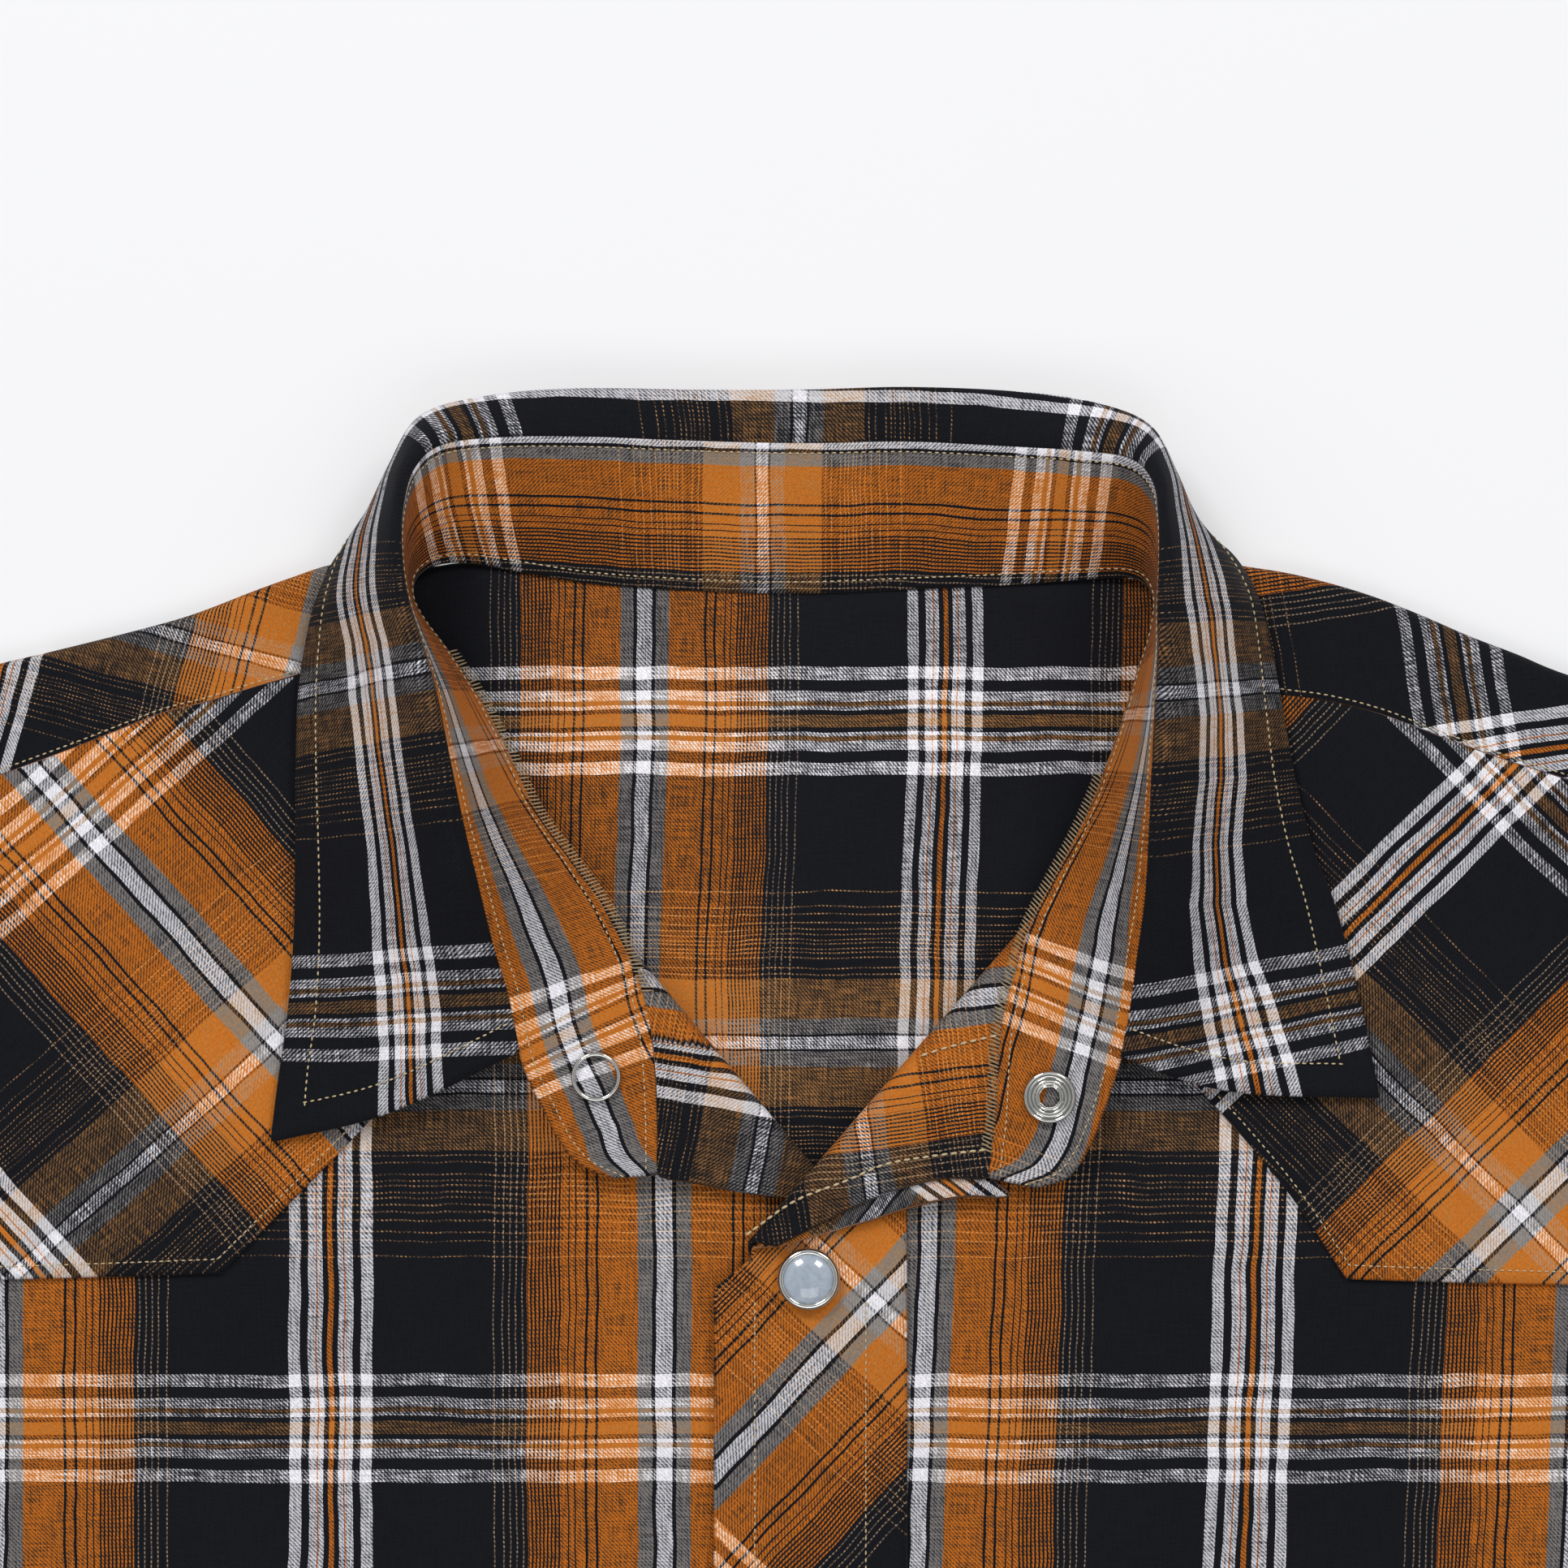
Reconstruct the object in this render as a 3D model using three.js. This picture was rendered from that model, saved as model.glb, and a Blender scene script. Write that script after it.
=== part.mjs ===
// Western snap shirt lying flat on its back with the collar open.
// Millimetres, +X to the viewer's right, +Y toward the collar, +Z up.
// Left and right are the wearer's, so the wearer's left is at +X.
import * as THREE from 'three';

// Driving sizes
const CLOTH = 1.1;            // wall of every cloth piece
const SEAM = 0.35;            // gap between pieces at a seam
const LAYER = CLOTH + SEAM;   // from one cloth layer's middle to the next
const FLOOR_MID = CLOTH / 2;  // middle of the lowest layer
const NECK_Y = 300;           // back neck seam to the rest face's centre
const PLACKET_INNER = 21.7;   // seam edge of the placket band, from the centre line
const PLACKET_OUTER = -17.2;  // free edge of the placket band
const FRONT_EDGE_LEFT = -16.3;
const FRONT_EDGE_RIGHT = 10;
const YOKE_SEAM_Y = -140;     // back yoke seam
const HEM_CENTRE_Y = -745;
const HEM_SIDE_Y = -685;
const UNDERARM_Y = -255;
const ARMHOLE_TOP_Y = -66;    // where the front shoulder seam meets the armhole
const SHOULDER_ROUND = 2.2;   // bend radius of the cloth over the shoulder
const STAND_BOW = 0.8;        // the stand's outward bow between seam and top
const SNAP_RADIUS = 6.4;      // half inch pearl cap
const SNAP_FIRST_Y = -140.7;
const SNAP_SPACING = 92;
const SNAP_COUNT = 6;
const CENTRE_X = 1.8;
const LAPEL_RISE = 2.7;       // how far the left front rises over the right lapel's folded end
const CUFF_WIDTH = 112;
const CUFF_LENGTH = 65;
const SLEEVE_ROUND = 1.7;     // half height of the flattened sleeve's side bend

// Collar sections: neck seam, top of the stand, turn of the leaf, leaf edge, each as x, y, z.
const COLLAR_MIDDLE = { seam: [0, 0.4, 1.3], top: [0, 30.5, 11.5], turn: [0, 40.0, 8.5], edge: [0, 7, 1.0] };
const COLLAR_RIGHT = [
  { seam: [-22, 1.0, 1.3], top: [-22, 31.0, 11.5], turn: [-23, 40.0, 8.5], edge: [-21, 7.5, 1.0] },
  { seam: [-42, 2.4, 1.4], top: [-44, 31.8, 12.5], turn: [-46, 40.2, 9.0], edge: [-40, 8.5, 1.0] },
  { seam: [-57, 4.8, 1.8], top: [-61, 31.6, 15.0], turn: [-64, 38.6, 10.0], edge: [-55, 10, 1.0] },
  { seam: [-68, 6.6, 2.5], top: [-73, 29.8, 20.0], turn: [-77, 34.6, 11.0], edge: [-66, 11, 1.0] },
  { seam: [-75, 6.0, 3.9], top: [-78.6, 24.6, 26.0], turn: [-83.5, 24.8, 13.0], edge: [-77, 12, 1.1] },
  { seam: [-79, 3.2, 5.8], top: [-80.6, 17.0, 31.0], turn: [-87.4, 17.2, 15.0], edge: [-86, 12, 2.2] },
  { seam: [-79.6, -1.2, 6.9], top: [-80.8, 8.5, 34.0], turn: [-91, 9.6, 18.0], edge: [-93.6, 8.6, 5.6] },
  { seam: [-77.5, -5.5, 6.9], top: [-79.6, -1.0, 35.0], turn: [-92.0, 0, 22.0], edge: [-98.6, -1.2, 7.6] },
  { seam: [-72.5, -12, 6.5], top: [-76.6, -11.0, 35.3], turn: [-91, -10.5, 22.5], edge: [-101.2, -12, 7.6] },
  { seam: [-66.5, -21, 6.2], top: [-73.7, -20.6, 35.0], turn: [-89, -21, 22.5], edge: [-102.6, -23, 7.2] },
  { seam: [-60.5, -32, 6.2], top: [-71, -34, 33.0], turn: [-88, -35.5, 21.0], edge: [-103, -38, 6.8] },
  { seam: [-54.5, -44.5, 6.8], top: [-68.2, -47.5, 30.0], turn: [-86.5, -50.5, 18.5], edge: [-103.2, -54.5, 6.5] },
  { seam: [-46.5, -55.5, 7.6], top: [-65.3, -59.5, 26.0], turn: [-85.5, -65, 16.0], edge: [-103.5, -70.5, 6.3] },
  { seam: [-39.5, -65.5, 8.6], top: [-62.5, -71.5, 19.5], turn: [-85, -80, 12.5], edge: [-104.8, -87, 6.1] },
  { seam: [-35.2, -74.5, 9.4], top: [-59.6, -81.6, 14.0], turn: [-84, -91.5, 9.5], edge: [-106.8, -101, 5.9] },
  { seam: [-32.5, -81.5, 9.4], top: [-57.2, -93.5, 10.8], turn: [-84.3, -106.3, 7.8], edge: [-108.2, -112.3, 5.7] },
  { seam: [-30.8, -89, 9.2], top: [-55.2, -99.5, 9.6] },
  { seam: [-29.9, -98, 8.8], top: [-52, -106, 9.0] },
  { seam: [-29.5, -106.5, 8.2], top: [-48.6, -112.6, 8.3] },
  { seam: [-29.4, -113, 7.8], top: [-44.6, -117, 7.9] },
  { seam: [-29.3, -119, 7.5], top: [-38.5, -119.6, 7.6] },
];
const COLLAR_LEFT = [
  { seam: [22, 1.2, 1.3], top: [22, 30.8, 11.5], turn: [22, 40.6, 8.5], edge: [21, 7.5, 1.0] },
  { seam: [40, 2.0, 1.4], top: [43, 29.8, 12.5], turn: [44, 39.8, 9.0], edge: [39, 8.5, 1.0] },
  { seam: [55, 3.0, 1.8], top: [57.5, 28.8, 15.5], turn: [60, 37.6, 10.0], edge: [53, 10, 1.0] },
  { seam: [64.5, 3.6, 2.5], top: [67.5, 27.0, 20.5], turn: [71, 33, 11.0], edge: [61, 10.5, 1.0] },
  { seam: [70, 3.0, 3.9], top: [72, 22.0, 26.5], turn: [76.5, 23.8, 13.0], edge: [70.5, 12, 1.1] },
  { seam: [72.6, 0, 5.8], top: [73, 14.5, 31.5], turn: [80.2, 15.8, 15.0], edge: [79.5, 11.6, 2.2] },
  { seam: [73, -4, 6.9], top: [73, 6.0, 34.5], turn: [84.5, 8.0, 18.0], edge: [87.6, 8.6, 5.6] },
  { seam: [72, -9.5, 6.9], top: [72.6, -3.5, 35.2], turn: [87, -0.5, 22.0], edge: [93.6, -1.0, 7.6] },
  { seam: [69.8, -16, 6.5], top: [72.6, -12.7, 35.4], turn: [87.2, -11.5, 22.5], edge: [96.6, -13, 7.6] },
  { seam: [66.8, -26, 6.2], top: [71.9, -26, 34.8], turn: [86.5, -25, 22.5], edge: [98.8, -24.5, 7.2] },
  { seam: [62.6, -37.5, 6.2], top: [71.3, -38.5, 33.0], turn: [86.5, -38, 21.0], edge: [101.3, -38, 6.8] },
  { seam: [57.8, -48.5, 6.8], top: [70.8, -50.5, 30.0], turn: [87.5, -51, 18.5], edge: [105, -52, 6.5] },
  { seam: [52.4, -58.6, 7.6], top: [70.1, -62.5, 25.5], turn: [89.5, -63.5, 16.0], edge: [109, -62.5, 6.3] },
  { seam: [47.6, -67.8, 8.8], top: [68.7, -74, 19.5], turn: [91, -76, 12.5], edge: [112.3, -74, 6.1] },
  { seam: [44.4, -77, 9.5], top: [67.3, -85.5, 14.0], turn: [92, -89, 9.5], edge: [115.4, -87, 5.9] },
  { seam: [42.3, -84.5, 9.5], top: [65.6, -94.5, 10.8], turn: [88, -101.8, 7.8], edge: [118.7, -103.3, 5.7] },
  { seam: [41, -92.5, 9.3], top: [63.8, -100.6, 9.6] },
  { seam: [40.6, -100.5, 8.9], top: [61.4, -107.6, 9.0] },
  { seam: [40.2, -108, 8.3], top: [58.6, -114.4, 8.3] },
  { seam: [39.4, -114.2, 7.9], top: [54.6, -119.6, 7.9] },
  { seam: [38.9, -119.6, 7.5], top: [48.5, -121.6, 7.6] },
];
const STAND_SHARES = [0, 0.33, 0.67, 1];
const LEAF_SHARES = [0, 0.07, 0.17, 0.32, 0.5, 0.66, 0.83, 1];

// Top of the shoulders as seen from above, and the shoulder seam in front, each as x, y.
const SHOULDER_TOP_RIGHT = [[-81.5, 7.4], [-90, 6.8], [-97.2, 5.7], [-104.7, 3.2], [-112.2, 0.5], [-124.7, -4.3],
  [-136.7, -7.7], [-154.8, -12.2], [-164.2, -14.4], [-185, -20], [-210, -29], [-236, -41]];
const SHOULDER_TOP_LEFT = [[74.8, 7.4], [83, 6.8], [90.7, 5.7], [102.2, 3.8], [115.5, 0.2], [126.7, -4],
  [137.8, -8.8], [147.5, -12.5], [157.8, -16.7], [180, -23.5], [208, -32.5], [236, -41]];
const SHOULDER_SEAM_RIGHT = [[-77.4, -9.6], [-87, -12.4], [-95, -14.4], [-102.8, -16.7], [-112.2, -19.4],
  [-122, -22.4], [-131.5, -24.9], [-148, -31.4], [-164.2, -37.4], [-188, -46.5], [-212, -56], [-238, -66]];
const SHOULDER_SEAM_LEFT = [[72.8, -13.6], [82, -16.5], [90, -18.6], [98, -20.7], [108.2, -22], [119.3, -24.8],
  [129, -28.5], [144, -34], [157.8, -38.4], [184, -47], [210, -56], [238, -66]];

// Armhole and side seam: distance from the centre line at each height, as y, x.
const OUTLINE = [[-41, 236], [-66, 238], [-110, 236.5], [-150, 238], [-190, 246], [-225, 262], [-245, 276],
  [-255, 284], [-300, 283], [-400, 280], [-550, 281], [-685, 288]];

// Columns of a front: shares of its width, then distances from its front edge that the placket shares.
const PANEL_SHARES = [0, 0.03, 0.16, 0.3, 0.44, 0.58, 0.72, 0.86];
const EDGE_COLUMNS = [38, 28, 19, 9.5, 0];

// Which share of a front's rows above the underarm has passed each armhole height, as y, share.
const ARMHOLE_STOPS = [[-66, 0], [-110, 0.38], [-150, 0.7], [-190, 0.83], [-225, 0.92], [-245, 0.96], [-255, 1]];

// Lower edge of the front yokes from the neck outward, as x, y.
const YOKE_EDGE_RIGHT = [[-45.4, -58.2], [-66, -84], [-89.7, -109.2], [-100.8, -120.7], [-109.7, -129.7],
  [-119.2, -139.4], [-145, -140.2], [-175, -141], [-205, -142], [-237.2, -143]];
const YOKE_EDGE_LEFT = [[52.6, -60.6], [66, -82], [83.3, -102.2], [92, -112], [102.5, -125.2],
  [112.6, -140.6], [140, -141.4], [172, -142], [205, -142.6], [237.2, -143]];

// Folded front corners: the visible fold line, and rows of where a row of cloth leaves the fold
// and its bend. A row ends at a collar section's neck seam, or else at a place along the fold,
// a distance in from it and a height.
const LAPEL_RIGHT = {
  start: [-35.8, -72.3], end: [10, -127],
  rows: [
    { leave: -3.5, section: 15, bend: 2.4 },
    { leave: 6, section: 16, bend: 2.4 },
    { leave: 16, section: 17, bend: 2.35 },
    { leave: 25, section: 18, bend: 2.3 },
    { leave: 33, section: 19, bend: 2.2 },
    { leave: 40, section: 20, bend: 2.1 },
    { leave: 47, reach: 46.1, inset: 20.3, height: 6.7, bend: 1.9 },
    { leave: 54, reach: 52.4, inset: 15.3, height: 5.9, bend: 1.6 },
    { leave: 61, reach: 57.8, inset: 10.7, height: 5.1, bend: 1.3 },
    { leave: 67, reach: 62.6, inset: 6.4, height: 4.2, bend: 1.0 },
    { leave: 71, reach: 67, inset: 2.6, height: 3.65, bend: 0.8 },
  ],
};
const LAPEL_LEFT = {
  start: [49, -65.7], end: [-13.5, -137.2],
  rows: [
    { leave: -3.5, section: 14, bend: 2.6 },
    { leave: 6, section: 15, bend: 2.6 },
    { leave: 15, section: 16, bend: 2.6 },
    { leave: 25, section: 17, bend: 2.6 },
    { leave: 34, section: 18, bend: 2.6 },
    { leave: 41, section: 19, bend: 2.6 },
    { leave: 48, section: 20, bend: 2.6 },
    { leave: 56, reach: 53.6, inset: 20.9, height: 8.0, bend: 2.6 },
    { leave: 65, reach: 61.5, inset: 15.2, height: 9.4, bend: 2.6 },
    { leave: 74, reach: 69.6, inset: 10.9, height: 10.3, bend: 2.6 },
    { leave: 84, reach: 78.6, inset: 7.2, height: 10.2, bend: 2.6 },
    { leave: 92, reach: 86.5, inset: 4.2, height: 9.4, bend: 2.6 },
  ],
};
const PLACKET_FIRST_ROW = 6;  // the placket's folded end runs from the stand's corner down
const BEND_ANGLES = [0, 45, 90, 135, 180];
const LAPEL_FLAT_SHARES = [0.33, 0.67, 1];

// Soft folds in the body: from, to, half width and height.
const FOLDS = [
  { from: [-270, -262], to: [-120, -330], width: 26, height: 2.4 },
  { from: [-276, -300], to: [-150, -450], width: 30, height: 2.0 },
  { from: [270, -262], to: [125, -322], width: 26, height: 2.2 },
  { from: [276, -305], to: [160, -440], width: 32, height: 2.2 },
  { from: [-205, -420], to: [-235, -660], width: 30, height: 2.2 },
  { from: [-120, -480], to: [-95, -720], width: 28, height: 1.8 },
  { from: [200, -430], to: [228, -655], width: 30, height: 2.0 },
  { from: [110, -470], to: [120, -715], width: 28, height: 2.0 },
];

const CLOTH_LOOK = { color: 0x6e4e33, roughness: 0.9, metalness: 0 };
const CHROME_LOOK = { color: 0xc9cdd2, roughness: 0.2, metalness: 1 };
const PEARL_LOOK = { color: 0xd5dbe6, roughness: 0.3, metalness: 0 };

const group = new THREE.Group();
group.name = 'western_snap_shirt';

// Small vector helpers
const add = (a, b, k = 1) => a.map((v, i) => v + k * b[i]);
const mix = (a, b, t) => a.map((v, i) => v + (b[i] - v) * t);
const gap = (a, b) => Math.hypot(...a.map((v, i) => v - b[i]));
const unit = (a) => {
  const size = Math.hypot(...a);
  return a.map((v) => v / size);
};
const smooth = (t) => {
  const s = Math.min(1, Math.max(0, t));
  return s * s * (3 - 2 * s);
};

// A smooth curve through equal steps of a list of number rows
function through(list, t) {
  const last = list.length - 1;
  const place = Math.min(last, Math.max(0, t));
  const i = Math.min(last - 1, Math.floor(place));
  const f = place - i;
  const p1 = list[i];
  const p2 = list[i + 1];
  const p0 = i > 0 ? list[i - 1] : add(add(p1, p1), p2, -1);
  const p3 = i + 2 <= last ? list[i + 2] : add(add(p2, p2), p1, -1);
  return p1.map((v, k) => {
    const a = 2 * v;
    const b = p2[k] - p0[k];
    const c = 2 * p0[k] - 5 * v + 4 * p2[k] - p3[k];
    const d = -p0[k] + 3 * v - 3 * p2[k] + p3[k];
    return 0.5 * (a + b * f + c * f * f + d * f * f * f);
  });
}

// Value between rows of (key, value), keys falling or rising
function lookup(table, key) {
  const rising = table[1][0] > table[0][0];
  for (let i = 0; i < table.length - 1; i += 1) {
    const [k0, v0] = table[i];
    const [k1, v1] = table[i + 1];
    if (rising ? key <= k1 : key >= k1) {
      return v0 + (v1 - v0) * Math.max(0, (key - k0) / (k1 - k0));
    }
  }
  return table[table.length - 1][1];
}

function distanceToSegment(p, a, b) {
  const d = [b[0] - a[0], b[1] - a[1]];
  const t = Math.min(1, Math.max(0, ((p[0] - a[0]) * d[0] + (p[1] - a[1]) * d[1]) / (d[0] ** 2 + d[1] ** 2)));
  return { away: Math.hypot(p[0] - a[0] - t * d[0], p[1] - a[1] - t * d[1]), share: t };
}

// Height of a front's middle surface over the floor
function frontHeight(x, y) {
  let z = FLOOR_MID + LAYER;
  for (const [cx, cy] of [[-40, -68], [50, -64]]) {
    z += 2.4 * Math.exp(-((x - cx) ** 2 + (y - cy) ** 2) / (2 * 26 ** 2));
  }
  const seam = x < 0 ? SHOULDER_SEAM_RIGHT : SHOULDER_SEAM_LEFT;
  const below = Math.max(0, lookup(seam, Math.abs(x) < 73 ? Math.sign(x || 1) * 78 : x) - y);
  z += 1.5 * Math.exp(-below / 25);
  for (const fold of FOLDS) {
    const near = distanceToSegment([x, y], fold.from, fold.to);
    z += fold.height * Math.exp(-((near.away / fold.width) ** 2)) * smooth(4 * near.share) * smooth(4 * (1 - near.share));
  }
  return z;
}

// How much of the right lapel's folded end lies under a place, from 0 to 1
function overLapel(x, y) {
  return Math.exp(-(((x - 4) / 17) ** 2 + ((y + 122) / 14) ** 2));
}

// The left front runs over the right one at the centre and over the end of its lapel
function leftHeight(x, y) {
  return frontHeight(x, y) + LAYER * smooth((30 - x) / 16) + LAPEL_RISE * overLapel(x, y);
}

// A cloth piece: points of its middle surface in quads, thickened to a closed wall
class Sheet {
  constructor() {
    this.points = [];
    this.faces = [];
    this.keys = new Map();
  }

  index(p) {
    const key = p.map((v) => Math.round(v * 200)).join(' ');
    if (!this.keys.has(key)) {
      this.keys.set(key, this.points.length);
      this.points.push(p);
    }
    return this.keys.get(key);
  }

  grid(rows, flip = false) {
    for (let i = 0; i < rows.length - 1; i += 1) {
      for (let j = 0; j < rows[i].length - 1; j += 1) {
        const a = this.index(rows[i][j]);
        const b = this.index(rows[i][j + 1]);
        const c = this.index(rows[i + 1][j + 1]);
        const d = this.index(rows[i + 1][j]);
        const short = gap(this.points[a], this.points[c]) <= gap(this.points[b], this.points[d]);
        const pair = short ? [[a, b, c], [a, c, d]] : [[a, b, d], [b, c, d]];
        for (const face of pair) {
          if (new Set(face).size === 3) this.faces.push(flip ? [face[0], face[2], face[1]] : face);
        }
      }
    }
    return this;
  }

  wall(name, look, thickness = CLOTH) {
    const normals = this.points.map(() => new THREE.Vector3());
    const at = (i) => new THREE.Vector3(...this.points[i]);
    for (const face of this.faces) {
      const p = face.map(at);
      const across = p[1].clone().sub(p[0]).cross(p[2].clone().sub(p[0])).normalize();
      for (let k = 0; k < 3; k += 1) {
        const u = p[(k + 1) % 3].clone().sub(p[k]);
        const v = p[(k + 2) % 3].clone().sub(p[k]);
        normals[face[k]].addScaledVector(across, u.angleTo(v));
      }
    }
    const half = thickness / 2;
    const xyz = [];
    for (const side of [1, -1]) {
      this.points.forEach((p, i) => {
        const n = normals[i].clone().normalize();
        xyz.push(p[0] + side * half * n.x, p[1] + side * half * n.y, p[2] + side * half * n.z);
      });
    }
    const count = this.points.length;
    const triangles = [];
    const edges = new Map();
    for (const [a, b, c] of this.faces) {
      triangles.push(a, b, c, a + count, c + count, b + count);
      for (const [s, e] of [[a, b], [b, c], [c, a]]) edges.set(s + ' ' + e, [s, e]);
    }
    for (const [s, e] of edges.values()) {
      if (!edges.has(e + ' ' + s)) triangles.push(s, s + count, e + count, s, e + count, e);
    }
    addMesh(name, xyz, triangles, look);
  }
}

function addMesh(name, xyz, triangles, look) {
  const moved = xyz.map((v, i) => (i % 3 === 1 ? v + NECK_Y : v));
  const geometry = new THREE.BufferGeometry();
  geometry.setAttribute('position', new THREE.Float32BufferAttribute(moved, 3));
  geometry.setIndex(triangles);
  geometry.computeVertexNormals();
  const mesh = new THREE.Mesh(geometry, new THREE.MeshStandardMaterial(look));
  mesh.name = name;
  group.add(mesh);
}

// Collar sections from the right front end round the back to the left front end
const collarRows = [...COLLAR_RIGHT].reverse().concat([COLLAR_MIDDLE], COLLAR_LEFT);
const seamLine = collarRows.map((row) => row.seam);
const topLine = collarRows.map((row) => row.top);

function standPoint(t, share) {
  const seam = through(seamLine, t);
  const top = through(topLine, t);
  const p = mix(seam, top, share);
  const middle = [0, -45];
  const away = unit([p[0] - middle[0], p[1] - middle[1]]);
  const steep = Math.min(1, Math.max(0, (top[2] - seam[2]) / 28));
  const bow = STAND_BOW * steep * 4 * share * (1 - share);
  return [p[0] + away[0] * bow, p[1] + away[1] * bow, p[2]];
}

function makeStand() {
  const steps = 2 * (collarRows.length - 1);
  const rows = [];
  for (let i = 0; i <= steps; i += 1) {
    rows.push(STAND_SHARES.map((share) => standPoint(i / 2, share)));
  }
  new Sheet().grid(rows).wall('collar_stand', CLOTH_LOOK);
}

function makeLeaf() {
  const leafRows = collarRows.filter((row) => row.edge);
  const flat = leafRows.map((row) => [...row.seam, ...row.top, ...row.turn, ...row.edge]);
  const steps = 2 * (flat.length - 1);
  const rows = [];
  for (let i = 0; i <= steps; i += 1) {
    const v = through(flat, i / 2);
    const [seam, top, turn, edge] = [v.slice(0, 3), v.slice(3, 6), v.slice(6, 9), v.slice(9, 12)];
    const up = unit(add(top, seam, -1));
    const start = add(top, up, SEAM);
    const leave = up.map((k) => k * gap(top, turn) * 0.95);
    const pass = add(edge, top, -1).map((k) => k * 0.5);
    const arrive = add(edge, turn, -1);
    rows.push(LEAF_SHARES.map((share) => (share <= 0.5
      ? hermite(start, leave, turn, pass, share * 2)
      : hermite(turn, pass, edge, arrive, share * 2 - 1))));
  }
  new Sheet().grid(rows).wall('collar_leaf', CLOTH_LOOK);
}

function hermite(p, m, q, n, t) {
  const t2 = t * t;
  const t3 = t2 * t;
  return p.map((v, k) => v * (2 * t3 - 3 * t2 + 1) + m[k] * (t3 - 2 * t2 + t)
    + q[k] * (3 * t2 - 2 * t3) + n[k] * (t3 - t2));
}

// The folded corner of a front, from the start of the bend to its edge
function lapelEnd(spec, row, along, out) {
  if (row.section === undefined) return row;
  const section = (spec.start[0] < 0 ? COLLAR_RIGHT : COLLAR_LEFT)[row.section];
  const inward = unit([section.seam[0] - section.top[0], section.seam[1] - section.top[1]]);
  const p = [section.seam[0] + inward[0] * SEAM - spec.start[0], section.seam[1] + inward[1] * SEAM - spec.start[1]];
  return {
    reach: p[0] * along[0] + p[1] * along[1],
    inset: -(p[0] * out[0] + p[1] * out[1]),
    height: section.seam[2],
  };
}

function lapelGrid(spec, height, radiusChange, firstRow = 0) {
  const along = unit([spec.end[0] - spec.start[0], spec.end[1] - spec.start[1]]);
  const out = spec.start[0] < 0 ? [-along[1], along[0]] : [along[1], -along[0]];
  const rows = spec.rows.slice(firstRow);
  return rows.map((row) => {
    const outerBend = row.bend;
    const bend = outerBend + radiusChange;
    const base = [spec.start[0] + along[0] * row.leave - out[0] * outerBend,
      spec.start[1] + along[1] * row.leave - out[1] * outerBend];
    const z0 = height(base[0], base[1]);
    const end = lapelEnd(spec, row, along, out);
    const flat = Math.max(0.3, end.inset - outerBend);
    const total = Math.PI * bend + flat;
    const list = [];
    const put = (run, offset, z) => {
      const shift = (end.reach - row.leave) * (run / total);
      list.push([base[0] + along[0] * shift + out[0] * offset, base[1] + along[1] * shift + out[1] * offset, z]);
    };
    for (const degrees of BEND_ANGLES) {
      const angle = (degrees * Math.PI) / 180;
      put(bend * angle, bend * Math.sin(angle), z0 + bend * (1 - Math.cos(angle)));
    }
    const top = z0 + 2 * bend;
    for (const share of LAPEL_FLAT_SHARES) {
      const drop = end.height + radiusChange - top;
      put(Math.PI * bend + flat * share, -flat * share, top + drop * smooth(share));
    }
    return list;
  });
}

// Rows across a front from its outer edge to its neck and front edge
function makeFront(name, side, lapel, seamTable, frontEdge, height) {
  const collar = side < 0 ? COLLAR_RIGHT : COLLAR_LEFT;
  const folded = lapelGrid(lapel, height, 0);
  const bendStart = folded.map((row) => row[0]);
  const neck = [seamTable[0]];
  for (let i = 8; i <= 12; i += 1) {
    const p = collar[i].seam;
    if (p[1] < seamTable[0][1] - 3 && p[1] > bendStart[0][1] + 6) {
      neck.push([p[0] + side * SEAM, p[1]]);
    }
  }
  const inner = neck.concat(bendStart.map((p) => [p[0], p[1]]));
  const fixed = inner.length;
  const firstY = Math.min(-138, inner[fixed - 1][1] - 9);
  for (const y of [firstY, -152, -172, -198, -226, UNDERARM_Y, -285, -320, -360, -400, -440, -480, -520, -560,
    -600, -640, -675, -712, HEM_CENTRE_Y]) {
    if (y < inner[fixed - 1][1] - 4) inner.push([frontEdge, y]);
  }
  const hemRise = HEM_SIDE_Y - HEM_CENTRE_Y;
  const sideScale = (UNDERARM_Y - HEM_SIDE_Y) / (UNDERARM_Y - HEM_CENTRE_Y);
  const last = inner.findIndex((p) => p[1] === UNDERARM_Y);
  const armholeRows = ARMHOLE_STOPS.map(([y, share]) => [Math.round(share * last), y]);
  const rows = inner.map((p, k) => {
    const fan = Math.max(0, 1 - k / (fixed + 1));
    const outerY = p[1] < UNDERARM_Y ? HEM_SIDE_Y + (p[1] - HEM_CENTRE_Y) * sideScale : lookup(armholeRows, k);
    const outer = [side * lookup(OUTLINE, outerY), outerY];
    const wide = Math.abs(p[0] - outer[0]);
    const across = PANEL_SHARES.map((u) => u * (1 - EDGE_COLUMNS[0] / wide))
      .concat(EDGE_COLUMNS.map((reach) => 1 - reach / wide));
    return across.map((u) => {
      const q = mix(outer, p, u);
      const top = lookup(seamTable, q[0]) - SEAM / 2;
      const line = outer[1] + (p[1] - outer[1]) * u;
      if (k < fixed && u < 1) q[1] = line + (k === 0 ? top - line : (top - (ARMHOLE_TOP_Y + (seamTable[0][1] - ARMHOLE_TOP_Y) * u)) * fan * 0.7);
      if (p[1] < -600) {
        const low = smooth((-600 - p[1]) / 145);
        const curve = hemRise * Math.abs(q[0] / OUTLINE[OUTLINE.length - 1][1]) ** 2.4;
        const straight = q[1] - p[1];
        q[1] += (curve - straight) * low;
      }
      return [q[0], q[1], height(q[0], q[1])];
    });
  });
  const sheet = new Sheet();
  sheet.grid(rows, side < 0);
  sheet.grid(folded, side < 0);
  sheet.wall(name, CLOTH_LOOK);
}

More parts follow.
